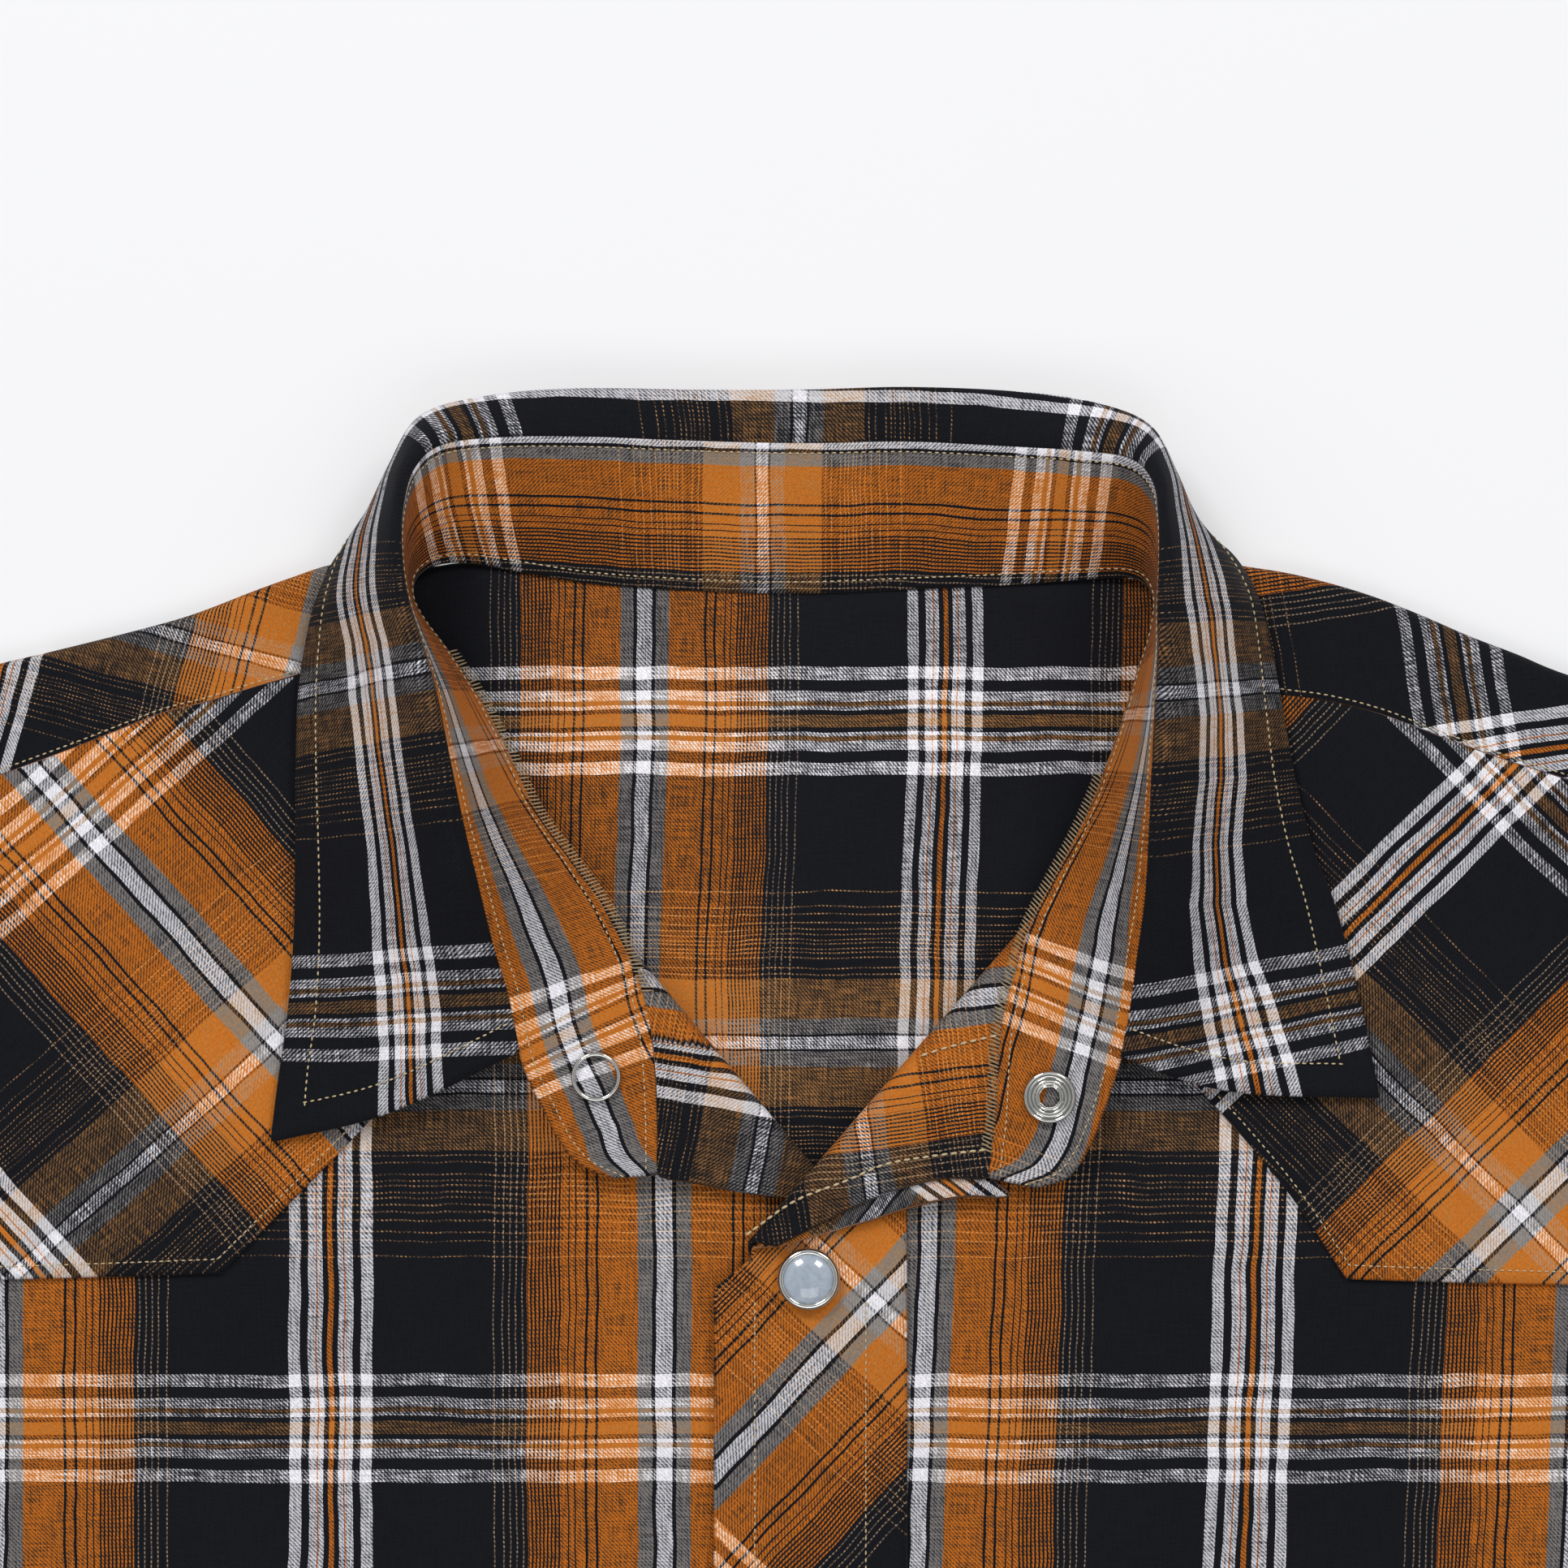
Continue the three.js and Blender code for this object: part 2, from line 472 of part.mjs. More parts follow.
function makePlacket() {
  const height = (x, y) => leftHeight(x, y) + LAYER;
  const folded = lapelGrid(LAPEL_LEFT, height, -LAYER, PLACKET_FIRST_ROW);
  const outer = folded.map((row) => [row[0][0], row[0][1]]);
  for (const y of [-145, -155, -166, -180, -198, -226, -255, -285, -320, -360, -400, -440, -480, -520, -560, -600,
    -640, -680, -712, HEM_CENTRE_Y + 1]) {
    outer.push([PLACKET_OUTER, y]);
  }
  const rows = outer.map((p) => {
    const inner = [PLACKET_INNER, p[1]];
    return EDGE_COLUMNS.map((reach) => {
      const u = 1 - reach / EDGE_COLUMNS[0];
      const q = mix(inner, p, u);
      return [q[0], q[1], height(q[0], q[1])];
    });
  });
  new Sheet().grid(rows, false).grid(folded, false).wall('placket', CLOTH_LOOK);
}

function makeFrontYoke(name, side, seamTable, edgeTable, height) {
  const collar = side < 0 ? COLLAR_RIGHT : COLLAR_LEFT;
  const columns = 12;
  const neckLine = [];
  for (let i = 7; i <= 13; i += 1) neckLine.push(collar[i].seam);
  const neckAt = (y) => {
    for (let i = 0; i < neckLine.length - 1; i += 1) {
      const [a, b] = [neckLine[i], neckLine[i + 1]];
      if (y <= a[1] && y >= b[1]) return a[0] + ((b[0] - a[0]) * (y - a[1])) / (b[1] - a[1]) + side * 2 * SEAM;
    }
    return neckLine[0][0];
  };
  const top = (s) => through(seamTable, s * (seamTable.length - 1));
  const low = (s) => through(edgeTable, s * (edgeTable.length - 1));
  const rows = [];
  const shares = [0, 0.12, 0.27, 0.42, 0.58, 0.75, 0.88, 1];
  for (const v of shares) {
    const row = [];
    for (let j = 0; j <= columns; j += 1) {
      const s = j / columns;
      const q = mix(top(s), low(s), v);
      const chord = mix(top(0), low(0), v);
      const pull = (neckAt(chord[1]) - chord[0]) * (1 - s) ** 3;
      const chordOut = mix(top(1), low(1), v);
      const push = (side * (lookup(OUTLINE, chordOut[1])) - chordOut[0]) * s ** 3;
      q[0] += pull + push;
      if (v === 0) q[1] -= SEAM / 2;
      row.push([q[0], q[1], height(q[0], q[1]) + LAYER]);
    }
    rows.push(row);
  }
  new Sheet().grid(rows, side > 0).wall(name, CLOTH_LOOK);
}

// The back yoke: flat behind the neck, bent over each shoulder to the seam in front
function makeBackYoke() {
  const sheet = new Sheet();
  const shrink = SHOULDER_ROUND + CLOTH / 2;
  const axisPoint = (table, s) => {
    const t = s * (table.length - 1);
    const p = through(table, t);
    const a = through(table, Math.max(0, t - 0.2));
    const b = through(table, Math.min(table.length - 1, t + 0.2));
    const along = unit([b[0] - a[0], b[1] - a[1]]);
    const out = along[0] > 0 ? [-along[1], along[0]] : [along[1], -along[0]];
    return { base: [p[0] - out[0] * shrink, p[1] - out[1] * shrink], out };
  };
  const steps = 12;
  const rightTop = [];
  const leftTop = [];
  for (let j = 0; j <= steps; j += 1) {
    rightTop.push(axisPoint(SHOULDER_TOP_RIGHT, j / steps));
    leftTop.push(axisPoint(SHOULDER_TOP_LEFT, j / steps));
  }
  const neckRight = [[-75, 5.2], [-68, 5.9], [-57, 4.2], [-42, 1.9], [-22, 0.5]];
  const neckLeft = [[22, 0.7], [40, 1.5], [55, 2.5], [64.5, 3.1], [69.5, 2.7]];
  const topLineAll = [...rightTop].reverse().map((k) => k.base)
    .concat(neckRight, [[0, 0]], neckLeft, leftTop.map((k) => k.base));
  const rows = [];
  for (const v of [0, 0.2, 0.45, 0.7, 0.88, 1]) {
    rows.push(topLineAll.map((p) => {
      const y = YOKE_SEAM_Y + (p[1] - YOKE_SEAM_Y) * v;
      const edge = Math.abs(p[0]) > 230 ? lookup(OUTLINE, y) / lookup(OUTLINE, p[1]) : 1;
      return [p[0] * edge, y, FLOOR_MID];
    }));
  }
  sheet.grid(rows);
  for (const [tops, table, side] of [[rightTop, SHOULDER_SEAM_RIGHT, -1], [leftTop, SHOULDER_SEAM_LEFT, 1]]) {
    const wrap = tops.map((top, j) => {
      const list = [];
      const arcAngles = [0, 36, 72, 108, 144, 180];
      for (const degrees of arcAngles) {
        const angle = (degrees * Math.PI) / 180;
        const out = SHOULDER_ROUND * Math.sin(angle);
        list.push([top.base[0] + top.out[0] * out, top.base[1] + top.out[1] * out,
          FLOOR_MID + SHOULDER_ROUND * (1 - Math.cos(angle))]);
      }
      const seam = through(table, (j / steps) * (table.length - 1));
      const high = FLOOR_MID + 2 * SHOULDER_ROUND;
      const low = frontHeight(seam[0], seam[1]) + LAYER;
      for (const share of [0.35, 0.7, 1]) {
        const q = mix(top.base, [seam[0], seam[1] + SEAM / 2], share);
        list.push([q[0], q[1], high + (low - high) * share]);
      }
      return list;
    });
    sheet.grid(wrap, side > 0);
  }
  sheet.wall('back_yoke', CLOTH_LOOK);
}

function makeBack() {
  const rows = [];
  const heights = [YOKE_SEAM_Y - SEAM, -150, -190, -225, -245, UNDERARM_Y, -300, -360, -430, -500, -570, -630, -690, HEM_CENTRE_Y];
  const across = [-1, -0.9, -0.75, -0.6, -0.4, -0.2, 0, 0.2, 0.4, 0.6, 0.75, 0.9, 1];
  const hemRise = HEM_SIDE_Y - HEM_CENTRE_Y;
  for (const y of heights) {
    const sideY = y > UNDERARM_Y ? y : HEM_SIDE_Y + ((y - HEM_CENTRE_Y) * (UNDERARM_Y - HEM_SIDE_Y)) / (UNDERARM_Y - HEM_CENTRE_Y);
    const wide = lookup(OUTLINE, sideY);
    rows.push(across.map((u) => {
      const rise = y > UNDERARM_Y ? 0 : (sideY - y) * Math.abs(u) ** 2.4;
      return [u * wide, y + rise, FLOOR_MID];
    }));
  }
  if (hemRise > 0) new Sheet().grid(rows, true).wall('back', CLOTH_LOOK);
}

// Sleeve stations from armhole to cuff: outer edge, inner edge, armhole curve's share, loft
const SLEEVE = [
  { outer: [236.6, -40.6], inner: [284.8, -255.6], curve: 1, loft: 1.6 },
  { outer: [251, -46], inner: [300, -266], curve: 0.86, loft: 2.6 },
  { outer: [268, -51.5], inner: [318, -279], curve: 0.62, loft: 3.6 },
  { outer: [300, -63], inner: [347, -300], curve: 0.35, loft: 4.2 },
  { outer: [335, -80], inner: [376, -321], curve: 0.16, loft: 4.4 },
  { outer: [372, -105], inner: [405, -341.5], curve: 0.05, loft: 4.4 },
  { outer: [410, -138], inner: [434, -362.5], curve: 0, loft: 4.6 },
  { outer: [450, -174], inner: [463, -383], curve: 0, loft: 4.6 },
  { outer: [492, -212], inner: [493, -404.5], curve: 0, loft: 4.2 },
  { outer: [536, -252], inner: [523, -426], curve: 0, loft: 3.8 },
  { outer: [582, -293.5], inner: [553, -447.5], curve: 0, loft: 3.6 },
  { outer: [628, -335], inner: [582, -468.5], curve: 0, loft: 3.0 },
  { outer: [666, -369], inner: [600, -481.5], curve: 0, loft: 2.2 },
  { outer: [694, -394.5], inner: [611.5, -488.5], curve: 0, loft: 1.2 },
];

const SLEEVE_STOPS = [-66, -110, -150, -190, -225, -245].map((y) => (y + 40.6) / (-255.6 + 40.6));

function makeSleeve(name, side) {
  const armhole = (t) => {
    const y = -40.6 + (-255.6 + 40.6) * t;
    return [lookup(OUTLINE, y) + 0.6, y];
  };
  const rings = SLEEVE.map((station) => {
    const across = unit(add(station.inner, station.outer, -1));
    const width = gap(station.inner, station.outer);
    const r = SLEEVE_ROUND;
    const place = (x, z) => {
      const t = x / width;
      const base = add(station.outer, across, x);
      const hole = armhole(t);
      const chord = mix(SLEEVE[0].outer, SLEEVE[0].inner, t);
      return [side * (base[0] + (hole[0] - chord[0]) * station.curve), base[1] + (hole[1] - chord[1]) * station.curve, z];
    };
    const ring = [];
    const bend = (x0, sign, from) => {
      for (const degrees of [0, 45, 90, 135, 180]) {
        const angle = (degrees * Math.PI) / 180;
        const z = FLOOR_MID + r - from * r * Math.cos(angle);
        ring.push(place(x0 + sign * r * Math.sin(angle), z));
      }
    };
    bend(r, -1, 1);
    for (const t of SLEEVE_STOPS) {
      ring.push(place(width * t, FLOOR_MID + 2 * r + station.loft * Math.sin(Math.PI * t) ** 0.8));
    }
    bend(width - r, 1, -1);
    for (const t of [...SLEEVE_STOPS].reverse()) ring.push(place(width * t, FLOOR_MID));
    ring.push(ring[0]);
    return ring;
  });
  new Sheet().grid(rings, side > 0).wall(name, CLOTH_LOOK);
}

// The cuff is a band that goes round and laps over itself
const CUFF_PATH = [[34, 3.95], [27, 3.95], [14, 3.95], [5, 3.95], [1.7, 3.95], [0.5, 3.45], [0, 2.25], [0.5, 1.05], [1.7, 0.55],
  [20, 0.55], [45, 0.55], [70, 0.55], [95, 0.55], [110.3, 0.55], [111.5, 1.05], [112, 2.25], [111.5, 3.45],
  [110.3, 3.95], [96, 4.3], [78, 4.6], [60, 4.6], [48, 4.7], [42, 5.0], [37, 5.4], [30, 5.45], [20, 5.45], [9, 5.45]];
const WRIST = SLEEVE[SLEEVE.length - 1];
const CUFF_ACROSS = unit(add(WRIST.inner, WRIST.outer, -1));
const CUFF_DOWN = [-CUFF_ACROSS[1], CUFF_ACROSS[0]];
const CUFF_INSET = (gap(WRIST.inner, WRIST.outer) - CUFF_WIDTH) / 2;

function cuffPoint(side, x, down, z) {
  const p = add(add(WRIST.outer, CUFF_ACROSS, x + CUFF_INSET), CUFF_DOWN, down + SEAM);
  return [side * p[0], p[1], z];
}

function makeCuff(name, side) {
  const rows = [0, 0.35, 0.7, 1].map((share) => CUFF_PATH.map(([x, z]) => cuffPoint(side, x, share * CUFF_LENGTH, z)));
  new Sheet().grid(rows, side > 0).wall(name, CLOTH_LOOK);
}

// A turned solid from a closed outline of (radius, height), placed and tilted
function turned(name, outline, centre, up, look, segments = 14) {
  const sheetUp = new THREE.Vector3(...unit(up));
  const turn = new THREE.Quaternion().setFromUnitVectors(new THREE.Vector3(0, 0, 1), sheetUp);
  const xyz = [];
  const triangles = [];
  const rings = [];
  for (const [r, h] of outline) {
    const ring = [];
    const count = r < 1e-6 ? 1 : segments;
    for (let k = 0; k < count; k += 1) {
      const angle = (2 * Math.PI * k) / segments;
      const p = new THREE.Vector3(r * Math.cos(angle), r * Math.sin(angle), h).applyQuaternion(turn);
      ring.push(xyz.length / 3);
      xyz.push(centre[0] + p.x, centre[1] + p.y, centre[2] + p.z);
    }
    rings.push(ring);
  }
  const closed = outline[0][0] > 1e-6;
  const last = closed ? rings.length : rings.length - 1;
  for (let i = 0; i < last; i += 1) {
    const low = rings[i];
    const high = rings[(i + 1) % rings.length];
    for (let k = 0; k < segments; k += 1) {
      const a = low[k % low.length];
      const b = low[(k + 1) % low.length];
      const c = high[(k + 1) % high.length];
      const d = high[k % high.length];
      if (a !== b) triangles.push(a, b, c);
      if (c !== d) triangles.push(a, c, d);
    }
  }
  addMesh(name, xyz, triangles, look);
}

const CAP_OUTLINE = [[0, 0], [5.3, 0], [6.3, 0.5], [SNAP_RADIUS, 1.0], [6.0, 1.5], [4.6, 2.05], [2.4, 2.4], [0, 2.5]];
const STUD_OUTLINE = [[0, 0], [5.0, 0], [5.0, 0.7], [2.2, 0.9], [2.0, 2.0], [1.7, 2.6], [0, 2.8]];
const SOCKET_OUTLINE = [[2.0, 0.15], [5.0, 0], [5.4, 0.5], [5.1, 1.1], [4.2, 1.2], [3.6, 1.0], [3.0, 1.35], [2.2, 1.2]];
const RING_MAJOR = 4.65;
const RING_WIRE = 0.48;

function makeSnaps() {
  for (let k = 0; k < SNAP_COUNT; k += 1) {
    const y = SNAP_FIRST_Y - k * SNAP_SPACING;
    const tops = [[0, 0], [6, 0], [-6, 0], [0, 6], [0, -6]].map(([dx, dy]) => leftHeight(CENTRE_X + dx, y + dy));
    const z = Math.max(...tops) + LAYER + CLOTH / 2 + SEAM;
    turned('snap_cap_' + (k + 1), CAP_OUTLINE, [CENTRE_X, y, z], [0, 0, 1], PEARL_LOOK);
  }
  for (const [name, side] of [['snap_cuff_right', -1], ['snap_cuff_left', 1]]) {
    const p = cuffPoint(side, 20, CUFF_LENGTH / 2, 5.45 + CLOTH / 2 + SEAM);
    turned(name, CAP_OUTLINE, p, [0, 0, 1], PEARL_LOOK);
  }
  const onStand = (x, y) => {
    let best = null;
    for (let t = 0; t <= seamLine.length - 1; t += 0.05) {
      for (let share = 0; share <= 1; share += 0.05) {
        const p = standPoint(t, share);
        const away = Math.hypot(p[0] - x, p[1] - y);
        if (!best || away < best.away) best = { away, t, share, p };
      }
    }
    const a = standPoint(best.t + 0.3, best.share);
    const b = standPoint(best.t - 0.3, best.share);
    const c = standPoint(best.t, Math.min(1, best.share + 0.2));
    const d = standPoint(best.t, best.share - 0.2);
    const up = new THREE.Vector3(...add(a, b, -1)).cross(new THREE.Vector3(...add(c, d, -1))).normalize();
    if (up.z < 0) up.negate();
    return { p: best.p, up: [up.x, up.y, up.z] };
  };
  const lift = CLOTH / 2 + SEAM;
  const right = onStand(-41.75, -98.8);
  const left = onStand(50.75, -103.2);
  const ringOutline = [];
  for (let k = 0; k < 8; k += 1) {
    const angle = (-2 * Math.PI * k) / 8;
    ringOutline.push([RING_MAJOR - RING_WIRE * Math.cos(angle), RING_WIRE + RING_WIRE * Math.sin(angle)]);
  }
  turned('snap_stand_ring', ringOutline, add(right.p, right.up, lift + 0.1), right.up, CHROME_LOOK, 24);
  turned('snap_stand_socket', SOCKET_OUTLINE, add(left.p, left.up, lift + 0.1), left.up, CHROME_LOOK, 24);
  const down = (up) => up.map((v) => -v);
  turned('snap_stand_stud', STUD_OUTLINE, add(right.p, right.up, -lift - 0.1), down(right.up), CHROME_LOOK);
  turned('snap_stand_cap', CAP_OUTLINE, add(left.p, left.up, -lift - 0.1), down(left.up), PEARL_LOOK);
}

makeBack();
makeBackYoke();
makeFront('front_right', -1, LAPEL_RIGHT, SHOULDER_SEAM_RIGHT, FRONT_EDGE_RIGHT, frontHeight);
makeFront('front_left', 1, LAPEL_LEFT, SHOULDER_SEAM_LEFT, FRONT_EDGE_LEFT, leftHeight);
makeFrontYoke('yoke_front_right', -1, SHOULDER_SEAM_RIGHT, YOKE_EDGE_RIGHT, frontHeight);
makeFrontYoke('yoke_front_left', 1, SHOULDER_SEAM_LEFT, YOKE_EDGE_LEFT, frontHeight);
makePlacket();
makeStand();
makeLeaf();
makeSleeve('sleeve_right', -1);
makeSleeve('sleeve_left', 1);
makeCuff('cuff_right', -1);
makeCuff('cuff_left', 1);
makeSnaps();

export default group;
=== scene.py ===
# %% [markdown]
# # A western snap shirt, laid flat
# A long-sleeved plaid shirt lies on its back with the collar open. The camera looks straight down on the
# neck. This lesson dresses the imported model: each cloth node is replaced by a finer shell with the same
# outline, the plaid is worked out from the yarn order of the real cloth, and the stitches are laid by
# Geometry Nodes. Sizes are in millimetres with the back neck seam at y = 0, and become metres only when a
# mesh is made.

# %% Load the fixed frame
import math
import bpy
import numpy as np
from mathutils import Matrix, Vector


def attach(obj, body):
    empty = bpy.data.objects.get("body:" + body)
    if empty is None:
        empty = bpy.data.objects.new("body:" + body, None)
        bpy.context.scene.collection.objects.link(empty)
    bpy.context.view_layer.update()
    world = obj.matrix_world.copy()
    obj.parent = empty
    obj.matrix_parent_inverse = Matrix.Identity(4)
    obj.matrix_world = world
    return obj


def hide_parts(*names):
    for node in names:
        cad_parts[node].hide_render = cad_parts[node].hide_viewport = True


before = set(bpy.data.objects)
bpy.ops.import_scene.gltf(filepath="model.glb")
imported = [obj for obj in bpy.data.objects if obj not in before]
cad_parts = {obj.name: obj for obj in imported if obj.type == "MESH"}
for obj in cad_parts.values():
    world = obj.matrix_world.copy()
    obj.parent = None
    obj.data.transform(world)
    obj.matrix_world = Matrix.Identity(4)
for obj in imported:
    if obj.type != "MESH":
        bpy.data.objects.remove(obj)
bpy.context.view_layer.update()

print("nodes in the frame:", len(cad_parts))

# %% [markdown]
# ## Driving sizes
# These are the garment's own sizes, the same as in its solids. The walls here are thinner than the solids'
# where one layer of cloth shows, and as thick where two layers and an interlining are sewn together.

# %% Sizes
MM = 0.001
NECK_Y = 300
CLOTH = 1.1
SEAM = 0.35
LAYER = CLOTH + SEAM
FLOOR_MID = CLOTH / 2
PLACKET_INNER = 21.7
PLACKET_OUTER = -17.2
FRONT_EDGE_LEFT = -16.3
FRONT_EDGE_RIGHT = 10
YOKE_SEAM_Y = -140
HEM_CENTRE_Y = -745
HEM_SIDE_Y = -685
UNDERARM_Y = -255
ARMHOLE_TOP_Y = -66
SHOULDER_ROUND = 2.2
STAND_BOW = 0.8
LAPEL_RISE = 2.7
SNAP_FIRST_Y = -140.7
SNAP_SPACING = 92
SNAP_COUNT = 6
CENTRE_X = 1.8
CUFF_LENGTH = 65
CUFF_WIDTH = 112
SLEEVE_ROUND = 1.7

# %% [markdown]
# ## The collar's sections
# A turned-down collar is a stand sewn round the neck and a leaf that leaves the stand's top edge, rolls
# over and hangs outward. One row here is one cut across it: the neck seam, the top of the stand, the turn
# of the roll and the leaf's edge, as x, y, z. Every point between the rows comes from a smooth curve
# through them.

# %% Collar table
COLLAR_MIDDLE = ((0, 0.4, 1.3), (0, 30.5, 11.5), (0, 40.0, 8.5), (0, 7, 1.0))
COLLAR_RIGHT = (
    ((-22, 1.0, 1.3), (-22, 31.0, 11.5), (-23, 40.0, 8.5), (-21, 7.5, 1.0)),
    ((-42, 2.4, 1.4), (-44, 31.8, 12.5), (-46, 40.2, 9.0), (-40, 8.5, 1.0)),
    ((-57, 4.8, 1.8), (-61, 31.6, 15.0), (-64, 38.6, 10.0), (-55, 10, 1.0)),
    ((-68, 6.6, 2.5), (-73, 29.8, 20.0), (-77, 34.6, 11.0), (-66, 11, 1.0)),
    ((-75, 6.0, 3.9), (-78.6, 24.6, 26.0), (-83.5, 24.8, 13.0), (-77, 12, 1.1)),
    ((-79, 3.2, 5.8), (-80.6, 17.0, 31.0), (-87.4, 17.2, 15.0), (-86, 12, 2.2)),
    ((-79.6, -1.2, 6.9), (-80.8, 8.5, 34.0), (-91, 9.6, 18.0), (-93.6, 8.6, 5.6)),
    ((-77.5, -5.5, 6.9), (-79.6, -1.0, 35.0), (-92.0, 0, 22.0), (-98.6, -1.2, 7.6)),
    ((-72.5, -12, 6.5), (-76.6, -11.0, 35.3), (-91, -10.5, 22.5), (-101.2, -12, 7.6)),
    ((-66.5, -21, 6.2), (-73.7, -20.6, 35.0), (-89, -21, 22.5), (-102.6, -23, 7.2)),
    ((-60.5, -32, 6.2), (-71, -34, 33.0), (-88, -35.5, 21.0), (-103, -38, 6.8)),
    ((-54.5, -44.5, 6.8), (-68.2, -47.5, 30.0), (-86.5, -50.5, 18.5), (-103.2, -54.5, 6.5)),
    ((-46.5, -55.5, 7.6), (-65.3, -59.5, 26.0), (-85.5, -65, 16.0), (-103.5, -70.5, 6.3)),
    ((-39.5, -65.5, 8.6), (-62.5, -71.5, 19.5), (-85, -80, 12.5), (-104.8, -87, 6.1)),
    ((-35.2, -74.5, 9.4), (-59.6, -81.6, 14.0), (-84, -91.5, 9.5), (-106.8, -101, 5.9)),
    ((-32.5, -81.5, 9.4), (-57.2, -93.5, 10.8), (-84.3, -106.3, 7.8), (-108.2, -112.3, 5.7)),
    ((-30.8, -89, 9.2), (-55.2, -99.5, 9.6)),
    ((-29.9, -98, 8.8), (-52, -106, 9.0)),
    ((-29.5, -106.5, 8.2), (-48.6, -112.6, 8.3)),
    ((-29.4, -113, 7.8), (-44.6, -117, 7.9)),
    ((-29.3, -119, 7.5), (-38.5, -119.6, 7.6)),
)
COLLAR_LEFT = (
    ((22, 1.2, 1.3), (22, 30.8, 11.5), (22, 40.6, 8.5), (21, 7.5, 1.0)),
    ((40, 2.0, 1.4), (43, 29.8, 12.5), (44, 39.8, 9.0), (39, 8.5, 1.0)),
    ((55, 3.0, 1.8), (57.5, 28.8, 15.5), (60, 37.6, 10.0), (53, 10, 1.0)),
    ((64.5, 3.6, 2.5), (67.5, 27.0, 20.5), (71, 33, 11.0), (61, 10.5, 1.0)),
    ((70, 3.0, 3.9), (72, 22.0, 26.5), (76.5, 23.8, 13.0), (70.5, 12, 1.1)),
    ((72.6, 0, 5.8), (73, 14.5, 31.5), (80.2, 15.8, 15.0), (79.5, 11.6, 2.2)),
    ((73, -4, 6.9), (73, 6.0, 34.5), (84.5, 8.0, 18.0), (87.6, 8.6, 5.6)),
    ((72, -9.5, 6.9), (72.6, -3.5, 35.2), (87, -0.5, 22.0), (93.6, -1.0, 7.6)),
    ((69.8, -16, 6.5), (72.6, -12.7, 35.4), (87.2, -11.5, 22.5), (96.6, -13, 7.6)),
    ((66.8, -26, 6.2), (71.9, -26, 34.8), (86.5, -25, 22.5), (98.8, -24.5, 7.2)),
    ((62.6, -37.5, 6.2), (71.3, -38.5, 33.0), (86.5, -38, 21.0), (101.3, -38, 6.8)),
    ((57.8, -48.5, 6.8), (70.8, -50.5, 30.0), (87.5, -51, 18.5), (105, -52, 6.5)),
    ((52.4, -58.6, 7.6), (70.1, -62.5, 25.5), (89.5, -63.5, 16.0), (109, -62.5, 6.3)),
    ((47.6, -67.8, 8.8), (68.7, -74, 19.5), (91, -76, 12.5), (112.3, -74, 6.1)),
    ((44.4, -77, 9.5), (67.3, -85.5, 14.0), (92, -89, 9.5), (115.4, -87, 5.9)),
    ((42.3, -84.5, 9.5), (65.6, -94.5, 10.8), (88, -101.8, 7.8), (118.7, -103.3, 5.7)),
    ((41, -92.5, 9.3), (63.8, -100.6, 9.6)),
    ((40.6, -100.5, 8.9), (61.4, -107.6, 9.0)),
    ((40.2, -108, 8.3), (58.6, -114.4, 8.3)),
    ((39.4, -114.2, 7.9), (54.6, -119.6, 7.9)),
    ((38.9, -119.6, 7.5), (48.5, -121.6, 7.6)),
)
collar_rows = list(reversed(COLLAR_RIGHT)) + [COLLAR_MIDDLE] + list(COLLAR_LEFT)
leaf_rows = [row for row in collar_rows if len(row) == 4]
MIDDLE = collar_rows.index(COLLAR_MIDDLE)
print("collar sections:", len(collar_rows), "of which carry the leaf:", len(leaf_rows))

# %% [markdown]
# ## Outlines of the body
# The shoulder, armhole, yoke edges and the folded corners of the two fronts. Each is a short table with one
# row for each place that was measured on the photograph or on a shirt of this size.

# %% Body tables
SHOULDER_TOP_RIGHT = ((-81.5, 7.4), (-90, 6.8), (-97.2, 5.7), (-104.7, 3.2), (-112.2, 0.5), (-124.7, -4.3),
                      (-136.7, -7.7), (-154.8, -12.2), (-164.2, -14.4), (-185, -20), (-210, -29), (-236, -41))
SHOULDER_TOP_LEFT = ((74.8, 7.4), (83, 6.8), (90.7, 5.7), (102.2, 3.8), (115.5, 0.2), (126.7, -4),
                     (137.8, -8.8), (147.5, -12.5), (157.8, -16.7), (180, -23.5), (208, -32.5), (236, -41))
SHOULDER_SEAM_RIGHT = ((-77.4, -9.6), (-87, -12.4), (-95, -14.4), (-102.8, -16.7), (-112.2, -19.4),
                       (-122, -22.4), (-131.5, -24.9), (-148, -31.4), (-164.2, -37.4), (-188, -46.5),
                       (-212, -56), (-238, -66))
SHOULDER_SEAM_LEFT = ((72.8, -13.6), (82, -16.5), (90, -18.6), (98, -20.7), (108.2, -22), (119.3, -24.8),
                      (129, -28.5), (144, -34), (157.8, -38.4), (184, -47), (210, -56), (238, -66))
OUTLINE = ((-41, 236), (-66, 238), (-110, 236.5), (-150, 238), (-190, 246), (-225, 262), (-245, 276),
           (-255, 284), (-300, 283), (-400, 280), (-550, 281), (-685, 288))
ARMHOLE_STOPS = ((-66, 0), (-110, 0.38), (-150, 0.7), (-190, 0.83), (-225, 0.92), (-245, 0.96), (-255, 1))
YOKE_EDGE_RIGHT = ((-45.4, -58.2), (-66, -84), (-89.7, -109.2), (-100.8, -120.7), (-109.7, -129.7),
                   (-119.2, -139.4), (-145, -140.2), (-175, -141), (-205, -142), (-237.2, -143))
YOKE_EDGE_LEFT = ((52.6, -60.6), (66, -82), (83.3, -102.2), (92, -112), (102.5, -125.2),
                  (112.6, -140.6), (140, -141.4), (172, -142), (205, -142.6), (237.2, -143))
